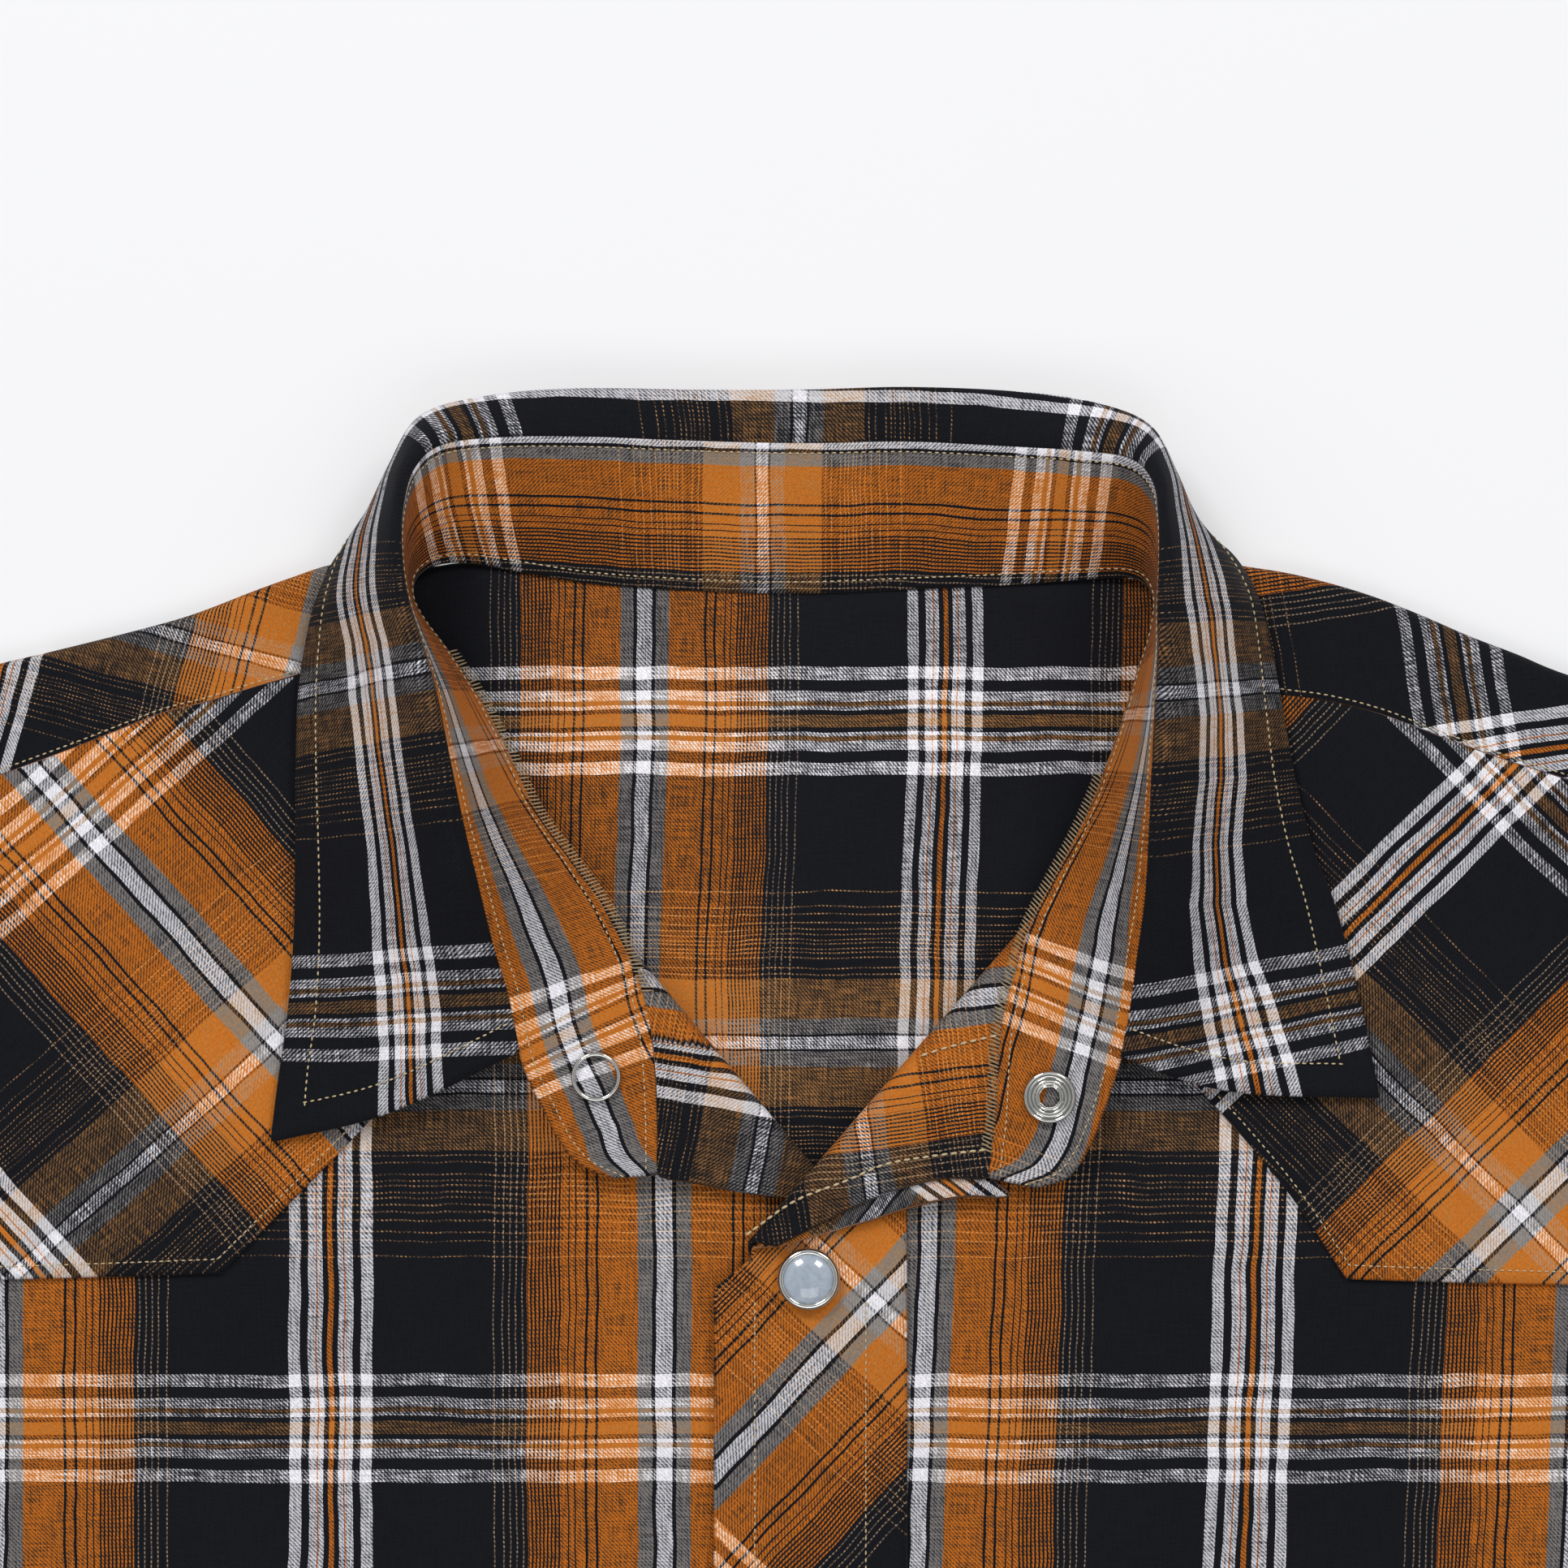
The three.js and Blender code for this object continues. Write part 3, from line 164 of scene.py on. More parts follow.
# Folded corner rows: where the row leaves the fold, how far along it comes back, inset, height and bend
# radius. A whole number in the second place stands for the collar section whose neck seam the row ends at.
LAPEL_RIGHT = dict(start=(-35.8, -72.3), end=(10, -127), rows=(
    (-3.5, 15, None, None, 2.4), (6, 16, None, None, 2.4), (16, 17, None, None, 2.35),
                                                               (25, 18, None, None, 2.3),
    (33, 19, None, None, 2.2), (40, 20, None, None, 2.1), (47, 46.1, 20.3, 6.7, 1.9),
                                                               (54, 52.4, 15.3, 5.9, 1.6),
    (61, 57.8, 10.7, 5.1, 1.3), (67, 62.6, 6.4, 4.2, 1.0), (71, 67, 2.6, 3.65, 0.8)))
LAPEL_LEFT = dict(start=(49, -65.7), end=(-13.5, -137.2), rows=(
    (-3.5, 14, None, None, 2.6), (6, 15, None, None, 2.6), (15, 16, None, None, 2.6),
                                                                (25, 17, None, None, 2.6),
    (34, 18, None, None, 2.6), (41, 19, None, None, 2.6), (48, 20, None, None, 2.6),
                                                                (56, 53.6, 20.9, 8.0, 2.6),
    (65, 61.5, 15.2, 9.4, 2.6), (74, 69.6, 10.9, 10.3, 2.6), (84, 78.6, 7.2, 10.2, 2.6),
                                                                (92, 86.5, 4.2, 9.4, 2.6)))
PLACKET_FIRST_ROW = 6
# Soft folds of the body: from, to, half width and height
FOLDS = (((-270, -262), (-120, -330), 26, 2.4), ((-276, -300), (-150, -450), 30, 2.0),
         ((270, -262), (125, -322), 26, 2.2), ((276, -305), (160, -440), 32, 2.2),
         ((-205, -420), (-235, -660), 30, 2.2), ((-120, -480), (-95, -720), 28, 1.8),
         ((200, -430), (228, -655), 30, 2.0), ((110, -470), (120, -715), 28, 2.0))
print("body folds:", len(FOLDS))

# %% [markdown]
# ## Curves through tables
# Two small tools do most of the shaping. One draws a smooth curve through the rows of a table, the other
# reads a value between rows. Numpy lets both work on whole grids at once, which keeps this file free of
# slow loops.

# %% Curve tools
def through(table, places):
    """A smooth curve through equal steps of a table, read at many places at once."""
    rows = np.asarray(table, float)
    last = len(rows) - 1
    t = np.clip(np.asarray(places, float), 0, last)
    i = np.minimum(t.astype(int), last - 1)
    f = (t - i)[..., None]
    longer = np.vstack([2 * rows[0] - rows[1], rows, 2 * rows[-1] - rows[-2]])
    a, b, c, d = (longer[i + k] for k in range(4))
    cubic = (3 * b - a - 3 * c + d) * f ** 3
    return 0.5 * (2 * b + (c - a) * f + (2 * a - 5 * b + 4 * c - d) * f * f + cubic)


def lookup(table, key):
    """The second column of a table at a value of its first column."""
    rows = np.array(table, float)
    rows = rows[rows[:, 0].argsort(kind="stable")]
    return np.interp(key, rows[:, 0], rows[:, 1])


def ease(t):
    t = np.clip(t, 0, 1)
    return t * t * (3 - 2 * t)


def unit(vector):
    vector = np.asarray(vector, float)
    return vector / np.linalg.norm(vector, axis=-1, keepdims=True)


def ridge(x, y, start, end, width):
    """1 along a line from start to end, fading to 0 on both sides and at its ends."""
    dx, dy = end[0] - start[0], end[1] - start[1]
    share = np.clip(((x - start[0]) * dx + (y - start[1]) * dy) / (dx * dx + dy * dy), 0, 1)
    away = np.hypot(x - start[0] - share * dx, y - start[1] - share * dy)
    return np.exp(-((away / width) ** 2)) * ease(4 * share) * ease(4 * (1 - share))


print("a curve through three rows at its middle:", through(((0, 0), (1, 1), (2, 0)), 0.5))

# %% [markdown]
# ## How high the cloth lies
# The fronts lie on the back and rise a little towards the collar and over each other. The big folds are in
# the solids too. The finer creases in the second table are only here: they are the ones that pressing and
# packing leave, uneven in length and depth, and they are shallower than the gap between two layers.

# %% Heights of the fronts
CREASES = (((-150, -40), (-118, -118), 7, -0.35), ((-205, -62), (-150, -112), 12, 0.5),
           ((-96, -30), (-110, -75), 6, 0.3), ((150, -52), (108, -108), 8, -0.35),
           ((196, -60), (160, -126), 13, 0.5),
           ((92, -36), (100, -70), 6, 0.3), ((-140, -160), (-60, -205), 9, 0.35),
           ((-95, -150), (-70, -240), 10, -0.3),
           ((44, -155), (88, -196), 9, 0.3), ((150, -158), (120, -236), 11, 0.4),
           ((-60, -230), (-110, -330), 12, 0.5),
           ((70, -240), (104, -352), 13, 0.5), ((-40, -380), (-66, -520), 12, -0.5),
           ((58, -400), (40, -560), 11, 0.5),
           ((-180, -520), (-130, -600), 12, 0.6), ((170, -560), (214, -600), 12, -0.5),
           ((-30, -600), (-48, -700), 9, 0.5),
           ((56, -620), (84, -700), 10, -0.4))


def front_height(x, y):
    x, y = np.asarray(x, float), np.asarray(y, float)
    z = np.full(np.broadcast(x, y).shape, FLOOR_MID + LAYER)
    for cx, cy in ((-40, -68), (50, -64)):
        z = z + 2.4 * np.exp(-((x - cx) ** 2 + (y - cy) ** 2) / (2 * 26 ** 2))
    near = np.where(np.abs(x) < 73, np.where(x < 0, -78.0, 78.0), x)
    seam = np.where(x < 0, lookup(SHOULDER_SEAM_RIGHT, near), lookup(SHOULDER_SEAM_LEFT, near))
    z = z + 1.5 * np.exp(-np.maximum(0, seam - y) / 25)
    for start, end, width, height in FOLDS + CREASES:
        z = z + height * ridge(x, y, start, end, width)
    return z


def over_lapel(x, y):
    return np.exp(-(((x - 4) / 17) ** 2 + ((y + 122) / 14) ** 2))


def left_height(x, y):
    return front_height(x, y) + LAYER * ease((30 - x) / 16) + LAPEL_RISE * over_lapel(x, y)


def placket_height(x, y):
    return left_height(x, y) + LAYER


print("height at the chest, in mm:", round(float(front_height(100.0, -200.0)), 2))

# %% [markdown]
# ## From a grid to a cloth shell
# Real cloth has two faces and a thin edge. A `Cloth` collects grids of points that lie in the middle of the
# cloth and welds them where they meet. `shell` then moves the points out to both faces along the surface's
# normals and closes the edge with a rounded rim. Each point also carries its place on the uncut cloth, in
# millimetres across the warp and along it, in an attribute named chart. The plaid is painted from that, so
# it turns, folds and meets at seams as the woven pattern does. Its third number is more than 0 on a
# lining's face, which is the twill's other side, where more of the weft shows; the plaid also paints that
# face lighter, as painted light where the collar shades the inside of the neck. The two faces may have
# their own charts, because the yoke is two layers cut in different directions.

# %% Cloth shells
def settle_normals(points, faces):
    """Unit normals at the points, from the faces around them."""
    corner = points[faces]
    across = np.cross(corner[:, 2] - corner[:, 0], corner[:, 3] - corner[:, 1])
    normals = np.zeros_like(points)
    for k in range(4):
        np.add.at(normals, faces[:, k], across)
    return unit(normals + 1e-12)


class Cloth:
    # The argument is the share of a lining's face: more weft shows there, and the plaid paints that face
    # lighter, as painted light against the collar's shade
    def __init__(self, lining_and_painted_light=0.0):
        self.lining_and_painted_light = lining_and_painted_light
        self.points, self.over, self.under, self.faces, self.thick = [], [], [], [], []
        self.keys = {}

    def grid(self, points, chart, under=None, thick=CLOTH, flip=False):
        """Adds a grid of points, rows by columns, with the charts of its upper and lower face."""
        under = chart if under is None else under
        thick = np.broadcast_to(np.asarray(thick, float), points.shape[:2])
        rows, columns = points.shape[:2]
        index = np.empty((rows, columns), int)
        for i in range(rows):
            for j in range(columns):
                key = tuple(np.round(points[i, j] * 50).astype(int))
                if key not in self.keys:
                    self.keys[key] = len(self.points)
                    self.points.append(points[i, j])
                    self.over.append(chart[i, j])
                    self.under.append(under[i, j])
                    self.thick.append(thick[i, j])
                index[i, j] = self.keys[key]
        quads = np.stack([index[:-1, :-1], index[:-1, 1:], index[1:, 1:], index[1:, :-1]], -1).reshape(-1, 4)
        keep = (quads[:, 0] != quads[:, 2]) & (quads[:, 1] != quads[:, 3])
        quads = quads[keep & np.array([len(set(quad)) > 2 for quad in quads.tolist()])]
        self.faces.append(quads[:, ::-1] if flip else quads)
        return self

    def shell(self, name, material):
        points, faces = np.array(self.points), np.vstack(self.faces)
        over, under = np.array(self.over), np.array(self.under)
        half = np.array(self.thick)[:, None] / 2
        normals = settle_normals(points, faces)
        edges = {}
        for quad in faces.tolist():
            for a, b in zip(quad, quad[1:] + quad[:1]):
                if a != b and edges.pop((b, a), None) is None:
                    edges[(a, b)] = True
        rim = np.array(list(edges))
        outward = np.zeros_like(points)
        along = unit(points[rim[:, 1]] - points[rim[:, 0]])
        for k in range(2):
            np.add.at(outward, rim[:, k], np.cross(along, normals[rim[:, k]]))
        on_rim = np.unique(rim)
        place = np.full(len(points), -1)
        place[on_rim] = np.arange(len(on_rim)) + 2 * len(points)
        bulge = points[on_rim] + unit(outward[on_rim]) * half[on_rim] * 0.8
        count = len(points)
        rim_top = np.stack([rim[:, 0], place[rim[:, 0]], place[rim[:, 1]], rim[:, 1]], -1)
        rim_low = np.stack([place[rim[:, 0]], rim[:, 0] + count, rim[:, 1] + count, place[rim[:, 1]]], -1)
        everything = np.vstack([points + normals * half, points - normals * half, bulge])
        everything[:, 1] += NECK_Y
        quads = np.vstack([faces, faces[:, ::-1] + count, rim_top, rim_low])
        mesh = bpy.data.meshes.new(name)
        mesh.from_pydata((everything * MM).tolist(), [],
                         [list(dict.fromkeys(quad)) for quad in quads.tolist()])
        chart = np.zeros((len(everything), 3), np.float32)
        chart[:, :2] = np.vstack([over, under, over[on_rim]])
        # The upper face carries the lining share: its weft share, and painted light that lightens it
        chart[:count, 2] = self.lining_and_painted_light
        mesh.attributes.new("chart", "FLOAT_VECTOR", "POINT").data.foreach_set("vector", chart.ravel())
        mesh.shade_smooth()
        mesh.materials.append(material)
        piece = bpy.data.objects.new(name, mesh)
        bpy.context.scene.collection.objects.link(piece)
        corner = points[faces]
        area = 0.5 * np.linalg.norm(np.cross(corner[:, 2] - corner[:, 0], corner[:, 3] - corner[:, 1]),
                                    axis=1).sum()
        width, length = (over.max(0) - over.min(0)) * MM
        print(name, "quads:", len(quads), "cloth area in square metres:", round(area * MM * MM, 4))
        return piece, (float(width), float(length), float(area * MM * MM))


made = {}


def finish_cloth(name, cloth, material, cut=None):
    """Makes the shell and hangs it on the model in place of its solid."""
    piece, (width, length, area) = cloth.shell(name, material)
    if cut:
        width, length = cut[0] * MM, cut[1] * MM
    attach(piece, "root")
    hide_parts(name.replace("cloth_", ""))
    area = min(area, 0.999 * width * length)
    made[name] = piece
    return piece

# %% [markdown]
# ## Yarn-dyed plaid
# The real cloth is a cotton 2/1 twill: stripes of dyed warp yarn run down the cloth and stripes of dyed
# weft yarn cross them. Where they meet, two warp threads show for each weft thread. So the material needs
# only two yarn orders, each mirrored about its own middle: a warp order that turns back after 68 mm and a
# weft order that turns back after 66.2 mm. Each order is a colour ramp with hard steps, read with a
# ping-pong of the chart's millimetres.

# %% Colours and nodes
def linear(hex_colour):
    """An sRGB hex colour as linear red, green, blue and alpha."""
    parts = [int(hex_colour[k:k + 2], 16) / 255 for k in (1, 3, 5)]
    return [v / 12.92 if v <= 0.04045 else ((v + 0.055) / 1.055) ** 2.4 for v in parts] + [1.0]


def add_node(tree, kind, *values, settings=None, steps=None, **inputs):
    """Adds a node. An operation may follow its kind, and inputs are given in order, or by number or name."""
    kind, *operation = kind.split()
    item = tree.nodes.new(kind)
    if operation:
        item.operation = operation[0]
    for key, value in (settings or {}).items():
        setattr(item, key, value)
    if steps:
        item.color_ramp.interpolation = "CONSTANT"
        marks = item.color_ramp.elements
        marks.remove(marks[-1])
        for number, (start, colour) in enumerate(steps):
            mark = marks[0] if number == 0 else marks.new(start)
            mark.position = start
            mark.color = linear(colour)
    given = [(item.inputs[number], value) for number, value in enumerate(values)]
    for key, value in inputs.items():
        given.append((item.inputs[int(key[1:]) if key[1:].isdigit() else key.replace("_", " ")], value))
    for socket, value in given:
        if isinstance(value, bpy.types.NodeSocket):
            tree.links.new(value, socket)
        else:
            socket.default_value = value
    return item.outputs[0] if len(item.outputs) else None


def fresh_material(name):
    material = bpy.data.materials.new(name)
    material.use_nodes = True
    material.node_tree.nodes.clear()
    return material, material.node_tree


YARN = dict(black="#121318", white="#E6E4E9", orange="#D4741F", rust="#966738", grey="#8A8480", tan="#A98F74",
            line="#C2905F")
WARP_TURN = 68.0
WEFT_TURN = 66.2
WARP_ORDER = ((0, "white"), (1.5, "black"), (2.2, "grey"), (5.3, "orange"), (13.5, "black"), (14.0, "orange"),
              (15.6, "black"), (16.1, "orange"), (17.8, "black"), (18.3, "orange"), (19.2, "black"),
              (19.6, "orange"), (27.8, "black"), (59.3, "white"), (61.7, "black"), (63.3, "white"),
              (64.9, "orange"), (65.3, "white"),
              (66.3, "black"), (67.35, "orange"))
PIN_STRIPES = (20.7, 27.8)
PIN_PITCH = 0.8
WARP_LINES = (28.6, 29.9, 31.2, 32.6, 34.5)
WEFT_ORDER = ((0, "rust"), (1.25, "black"), (2.15, "white"), (3.1, "rust"), (4.0, "white"), (6.1, "black"),
              (8.4, "white"), (11.1, "black"), (53.0, "rust"), (61.2, "grey"), (64.2, "black"),
              (64.8, "white"))
WEFT_LINES = (35.1, 38.2, 39.8, 41.5, 42.7, 43.9, 44.8, 45.7, 46.6, 47.5, 48.4, 49.4, 50.6, 51.8)
print("yarn colours:", len(YARN), "warp steps:", len(WARP_ORDER), "weft steps:", len(WEFT_ORDER))

# %% [markdown]
# ## How the twill mixes two yarns
# Seen closely, a stripe is never one flat colour: the weft peeps out between the warp threads along fine
# slanting lines, some threads are thicker than others, and brushed fibres blur it all. The mix is made on
# gamma-coded colours, because that is how small dark and light spots look when the eye joins them. The
# slanting lines of the real cloth lie 0.5 mm apart. They are drawn at 0.85 mm, or the render's pixels would
# swallow them. A single thread of another colour goes under every third crossing, so it shows as a row of
# dashes.

# %% The plaid material
TWILL_PITCH = 0.85
DASH_PITCH = 0.95
LINE_WIDTH = 0.25
WEFT_SHARE = 0.34


LINE_DASH = (-0.7, 0.1, 0.1, 1.0)
YARN_WANDER = 1.5
PIN_SHARE = 0.1
TWILL_DEPTH = 0.3
REVERSE_WEFT = 0.45
# Painted light: how much lighter a lining's face is made, for the inside of the neck that lies in the
# collar's shade
LINING_PAINTED_LIGHT = 0.25
SLUB_STRETCHES = ((3.0, 0.16, 0.0), (0.16, 3.0, 0.0))
EYE_GAMMA = 2.2
MIX = dict(data_type="RGBA")
PLANE = dict(noise_dimensions="2D")


def make_plaid(name):
    """Yarn-dyed brushed cotton twill: matt, with a faint bloom of fibres at a low angle."""
    material, tree = fresh_material(name)
    chart = add_node(tree, "ShaderNodeAttribute",
                     settings=dict(attribute_name="chart")).node.outputs["Vector"]
    # Yarn wanders by a few tenths of a millimetre, so no stripe is ruler-straight
    slow = add_node(tree, "ShaderNodeTexNoise", settings=PLANE, Vector=chart, Scale=0.05, Detail=5.0)
    centred = add_node(tree, "ShaderNodeVectorMath SUBTRACT", slow.node.outputs["Color"], (0.5, 0.5, 0.5))
    wander = add_node(tree, "ShaderNodeVectorMath MULTIPLY", centred, (YARN_WANDER, YARN_WANDER, 0.0))
    place = add_node(tree, "ShaderNodeVectorMath ADD", chart, wander)
    # The chart's third number marks a lining's face: more weft shows there, and it carries painted light
    across, down, lining_face_and_painted_light = add_node(tree, "ShaderNodeSeparateXYZ", place).node.outputs
    coded = []
    for order, turn, count, run, singles, colour in (
            (WARP_ORDER, WARP_TURN, across, down, WARP_LINES, "tan"),
            (WEFT_ORDER, WEFT_TURN, down, across, WEFT_LINES, "line")):
        there_and_back = add_node(tree, "ShaderNodeMath PINGPONG", count, turn)
        folded = add_node(tree, "ShaderNodeMath DIVIDE", there_and_back, turn)
        yarn = add_node(tree, "ShaderNodeValToRGB", folded, steps=[(s / turn, YARN[y]) for s, y in order])
        if order is WARP_ORDER:
            # Fine pin stripes, where every other warp thread is black
            past = add_node(tree, "ShaderNodeMath GREATER_THAN", folded, PIN_STRIPES[0] / turn)
            before = add_node(tree, "ShaderNodeMath LESS_THAN", folded, PIN_STRIPES[1] / turn)
            zone = add_node(tree, "ShaderNodeMath MULTIPLY", past, before)
            angle = add_node(tree, "ShaderNodeMath MULTIPLY", count, 2 * math.pi / PIN_PITCH)
            wave = add_node(tree, "ShaderNodeMath SINE", angle)
            pins = add_node(tree, "ShaderNodeMath GREATER_THAN", wave, PIN_SHARE)
            pinned = add_node(tree, "ShaderNodeMath MULTIPLY", zone, pins)
            yarn = add_node(tree, "ShaderNodeMix", settings=MIX, i0=pinned, i6=yarn, i7=linear(YARN["black"]))
            yarn = yarn.node.outputs[2]
        # Single threads of another colour, in dashes: tan ones in the warp, pale orange ones in the weft
        line_steps = [(0, "#000000")]
        for first in singles:
            line_steps += [(first / turn, "#FFFFFF"), ((first + LINE_WIDTH) / turn, "#000000")]
        lines = add_node(tree, "ShaderNodeValToRGB", folded, steps=line_steps)
        angle = add_node(tree, "ShaderNodeMath MULTIPLY", run, 2 * math.pi / DASH_PITCH)
        dash = add_node(tree, "ShaderNodeMath SINE", angle)
        shown = add_node(tree, "ShaderNodeMapRange", dash, *LINE_DASH)
        single = add_node(tree, "ShaderNodeMath MULTIPLY", lines, shown)
        yarn = add_node(tree, "ShaderNodeMix", settings=MIX, i0=single, i6=yarn, i7=linear(YARN[colour]))
        coded.append(add_node(tree, "ShaderNodeGamma", yarn.node.outputs[2], 1 / EYE_GAMMA))
    # How much weft shows: slanting twill lines, threads of uneven thickness, and more on a lining's face
    slant = add_node(tree, "ShaderNodeMath ADD", across, down)
    angle = add_node(tree, "ShaderNodeMath MULTIPLY", slant, 2 * math.pi / TWILL_PITCH)
    twill = add_node(tree, "ShaderNodeMath SINE", angle)
    slubs = []
    for stretch in SLUB_STRETCHES:
        drawn = add_node(tree, "ShaderNodeVectorMath MULTIPLY", chart, stretch)
        slubs.append(add_node(tree, "ShaderNodeTexNoise", settings=PLANE, Vector=drawn, Scale=1.0,
                              Detail=2.0))
    uneven = add_node(tree, "ShaderNodeMath SUBTRACT", slubs[1], slubs[0])
    share = add_node(tree, "ShaderNodeMath MULTIPLY_ADD", lining_face_and_painted_light, REVERSE_WEFT, WEFT_SHARE)
    share = add_node(tree, "ShaderNodeMath MULTIPLY_ADD", twill, TWILL_DEPTH, share)
    share = add_node(tree, "ShaderNodeMath ADD", uneven, share)
    share = add_node(tree, "ShaderNodeClamp", share, 0.02, 0.95)
    blend = add_node(tree, "ShaderNodeMix", settings=MIX, i0=share, i6=coded[0], i7=coded[1]).node.outputs[2]
    mixed = add_node(tree, "ShaderNodeGamma", blend, EYE_GAMMA)
    # Brushed fibres: pale specks, and a little wear that lightens and darkens broad areas. A lining's face is
    # also made lighter: painted light inside the neck, where the collar casts shade
    fuzz = add_node(tree, "ShaderNodeTexNoise", settings=PLANE, Vector=chart, Scale=1.6, Detail=4.0,
                    Roughness=0.7)
    broad = add_node(tree, "ShaderNodeTexNoise", settings=PLANE, Vector=chart, Scale=0.03, Detail=3.0)
    shade = add_node(tree, "ShaderNodeMath MULTIPLY_ADD", fuzz, 0.8, 0.47)
    for layer, strength in ((broad, 0.26), (lining_face_and_painted_light, LINING_PAINTED_LIGHT), (twill, 0.11), (uneven, 0.5)):
        shade = add_node(tree, "ShaderNodeMath MULTIPLY_ADD", layer, strength, shade)
    worn = add_node(tree, "ShaderNodeVectorMath SCALE", mixed, Scale=shade)
    height = add_node(tree, "ShaderNodeMath MULTIPLY", uneven, 0.8)
    for layer, strength in ((fuzz, 1.2), (twill, 0.35)):
        height = add_node(tree, "ShaderNodeMath MULTIPLY_ADD", layer, strength, height)
    bump = add_node(tree, "ShaderNodeBump", Strength=0.55, Distance=0.00012, Height=height)
    shader = add_node(tree, "ShaderNodeBsdfPrincipled", worn, Roughness=0.88, Specular_IOR_Level=0.12,
                      Sheen_Weight=0.04, Sheen_Roughness=0.45, Normal=bump)
    add_node(tree, "ShaderNodeOutputMaterial", shader)
    return material


PLAID = make_plaid("yarn-dyed cotton twill")
print("nodes in the plaid:", len(PLAID.node_tree.nodes))

# %% [markdown]
# ## Collar stand
# The stand is a curved band, upright behind the neck and lying down at its two rounded ends. Each of its
# rows runs from the neck seam to the top edge, and bows outward a little, because a band that is bent round
# a neck does. Its warp stripes run along the band, so the chart counts millimetres down from the top edge,
# and the dark middle of the stripes drifts a little, as it was cut.

# %% Stand
FINE = 0.125
STAND_THICK = 1.2
WEFT_THREE_TURNS = 3 * WEFT_TURN


def stand_grid(places, shares):
    seam = through([row[0] for row in collar_rows], places)[:, None, :]
    top = through([row[1] for row in collar_rows], places)[:, None, :]
    share = shares[None, :, None]
    points = seam + (top - seam) * share
    away = unit(points[..., :2] - np.array((0, -45.0)))
    steep = np.clip((top[..., 2:] - seam[..., 2:]) / 28, 0, 1)
    points[..., :2] += away * STAND_BOW * steep * 4 * share * (1 - share)
    return points


def run_along(line):
    """Distance along a line of points, from its first point."""
    steps = np.linalg.norm(np.diff(line, axis=0), axis=1)
    return np.concatenate([[0], np.cumsum(steps)])


def weft_along(line, places, right_zero, middle, left_zero):
    """Millimetres along the weft order: 0 at both zero places and three turns at the centre back."""
    run = run_along(line)
    at_right, at_middle, at_left = np.interp((right_zero, middle, left_zero), places, run)
    scale = np.where(run < at_middle, WEFT_THREE_TURNS / (at_middle - at_right),
                     WEFT_THREE_TURNS / (at_left - at_middle))
    return WEFT_THREE_TURNS + (run - at_middle) * scale


stand_places = np.arange(0, len(collar_rows) - 1 + FINE / 2, FINE)
stand_shares = np.linspace(0, 1, 25)
stand_points = stand_grid(stand_places, stand_shares)
STAND_CORE = ((0, 5.4), (1, 7.5), (2, 9.7), (3, 10.5), (5, 10.4), (7, 10), (9, 10), (11, 8), (13, 4),
              (15, -0.5),
              (21, -0.4), (24, 0), (27, 0.8), (29, 3),
              (31, 7), (33, 9), (34, 9), (35, 7.8), (37, 7.8), (38, 7.4), (39, 6.6), (40, 5.5), (41, 5),
              (42, 5))
stand_high = np.linalg.norm(stand_points[:, -1] - stand_points[:, 0], axis=1)[:, None]
stand_w = (1 - stand_shares[None, :]) * stand_high - lookup(STAND_CORE, stand_places)[:, None]
stand_f = weft_along(stand_points[:, 12], stand_places, MIDDLE - 16.2, MIDDLE - 0.34, MIDDLE + 15.2)[:, None]
stand_chart = np.stack(np.broadcast_arrays(stand_w, stand_f), -1)
stand = Cloth().grid(stand_points, stand_chart, thick=STAND_THICK)
finish_cloth("cloth_collar_stand", stand, PLAID)

# %% [markdown]
# ## Collar leaf
# The leaf starts on the stand's top edge, rolls over and hangs outward to its two long points. A hermite
# curve in two pieces makes each section: it leaves along the stand, passes the turn and arrives at the
# edge. The leaf is two layers with an interlining, so it is thicker than a panel, and it thins at the
# topstitch 6.5 mm inside the edge, where the needle pulls the layers together.

# %% Leaf
LEAF_MIDDLE = leaf_rows.index(COLLAR_MIDDLE)
LEAF_STITCH = 6.5
LEAF_THICK = 1.35


def hermite(p, m, q, n, t):
    """A smooth piece from p, leaving along m, to q, arriving along n."""
    ends = p * (2 * t ** 3 - 3 * t ** 2 + 1) + q * (3 * t ** 2 - 2 * t ** 3)
    return ends + m * (t ** 3 - 2 * t ** 2 + t) + n * (t ** 3 - t ** 2)


def leaf_grid(places, shares):
    flat = through([sum((tuple(p) for p in row), ()) for row in leaf_rows], places)
    seam, top, turn, edge = (flat[:, None, 3 * k:3 * k + 3] for k in range(4))
    up = unit(top - seam)
    leave = up * np.linalg.norm(turn - top, axis=-1, keepdims=True) * 0.95
    passing = (edge - top) * 0.5
    t = shares[None, :, None]
    near = hermite(top + up * SEAM, leave, turn, passing, np.clip(t * 2, 0, 1))
    far = hermite(turn, passing, edge, edge - turn, np.clip(t * 2 - 1, 0, 1))
    return np.where(t <= 0.5, near, far)


leaf_places = np.arange(0, len(leaf_rows) - 1 + FINE / 2, FINE)
leaf_shares = np.linspace(0, 1, 61)
leaf_points = leaf_grid(leaf_places, leaf_shares)
leaf_run = np.concatenate([np.zeros((len(leaf_places), 1)),
                           np.cumsum(np.linalg.norm(np.diff(leaf_points, axis=1), axis=2), axis=1)], axis=1)
LEAF_CENTRE = ((0, 24.6), (1, 21.7), (2, 19.8), (3, 19.2), (4, 18.8), (5, 18.2), (6, 18), (7, 15.9), (8, 16),
               (16, 16.5), (24, 13.9), (25, 15.9), (26, 19.3), (27, 19.9), (28, 17.7), (29, 16.8), (30, 19.4),
               (31, 23.7), (32, 29.8))
away_from_back = np.abs(leaf_places - LEAF_MIDDLE)
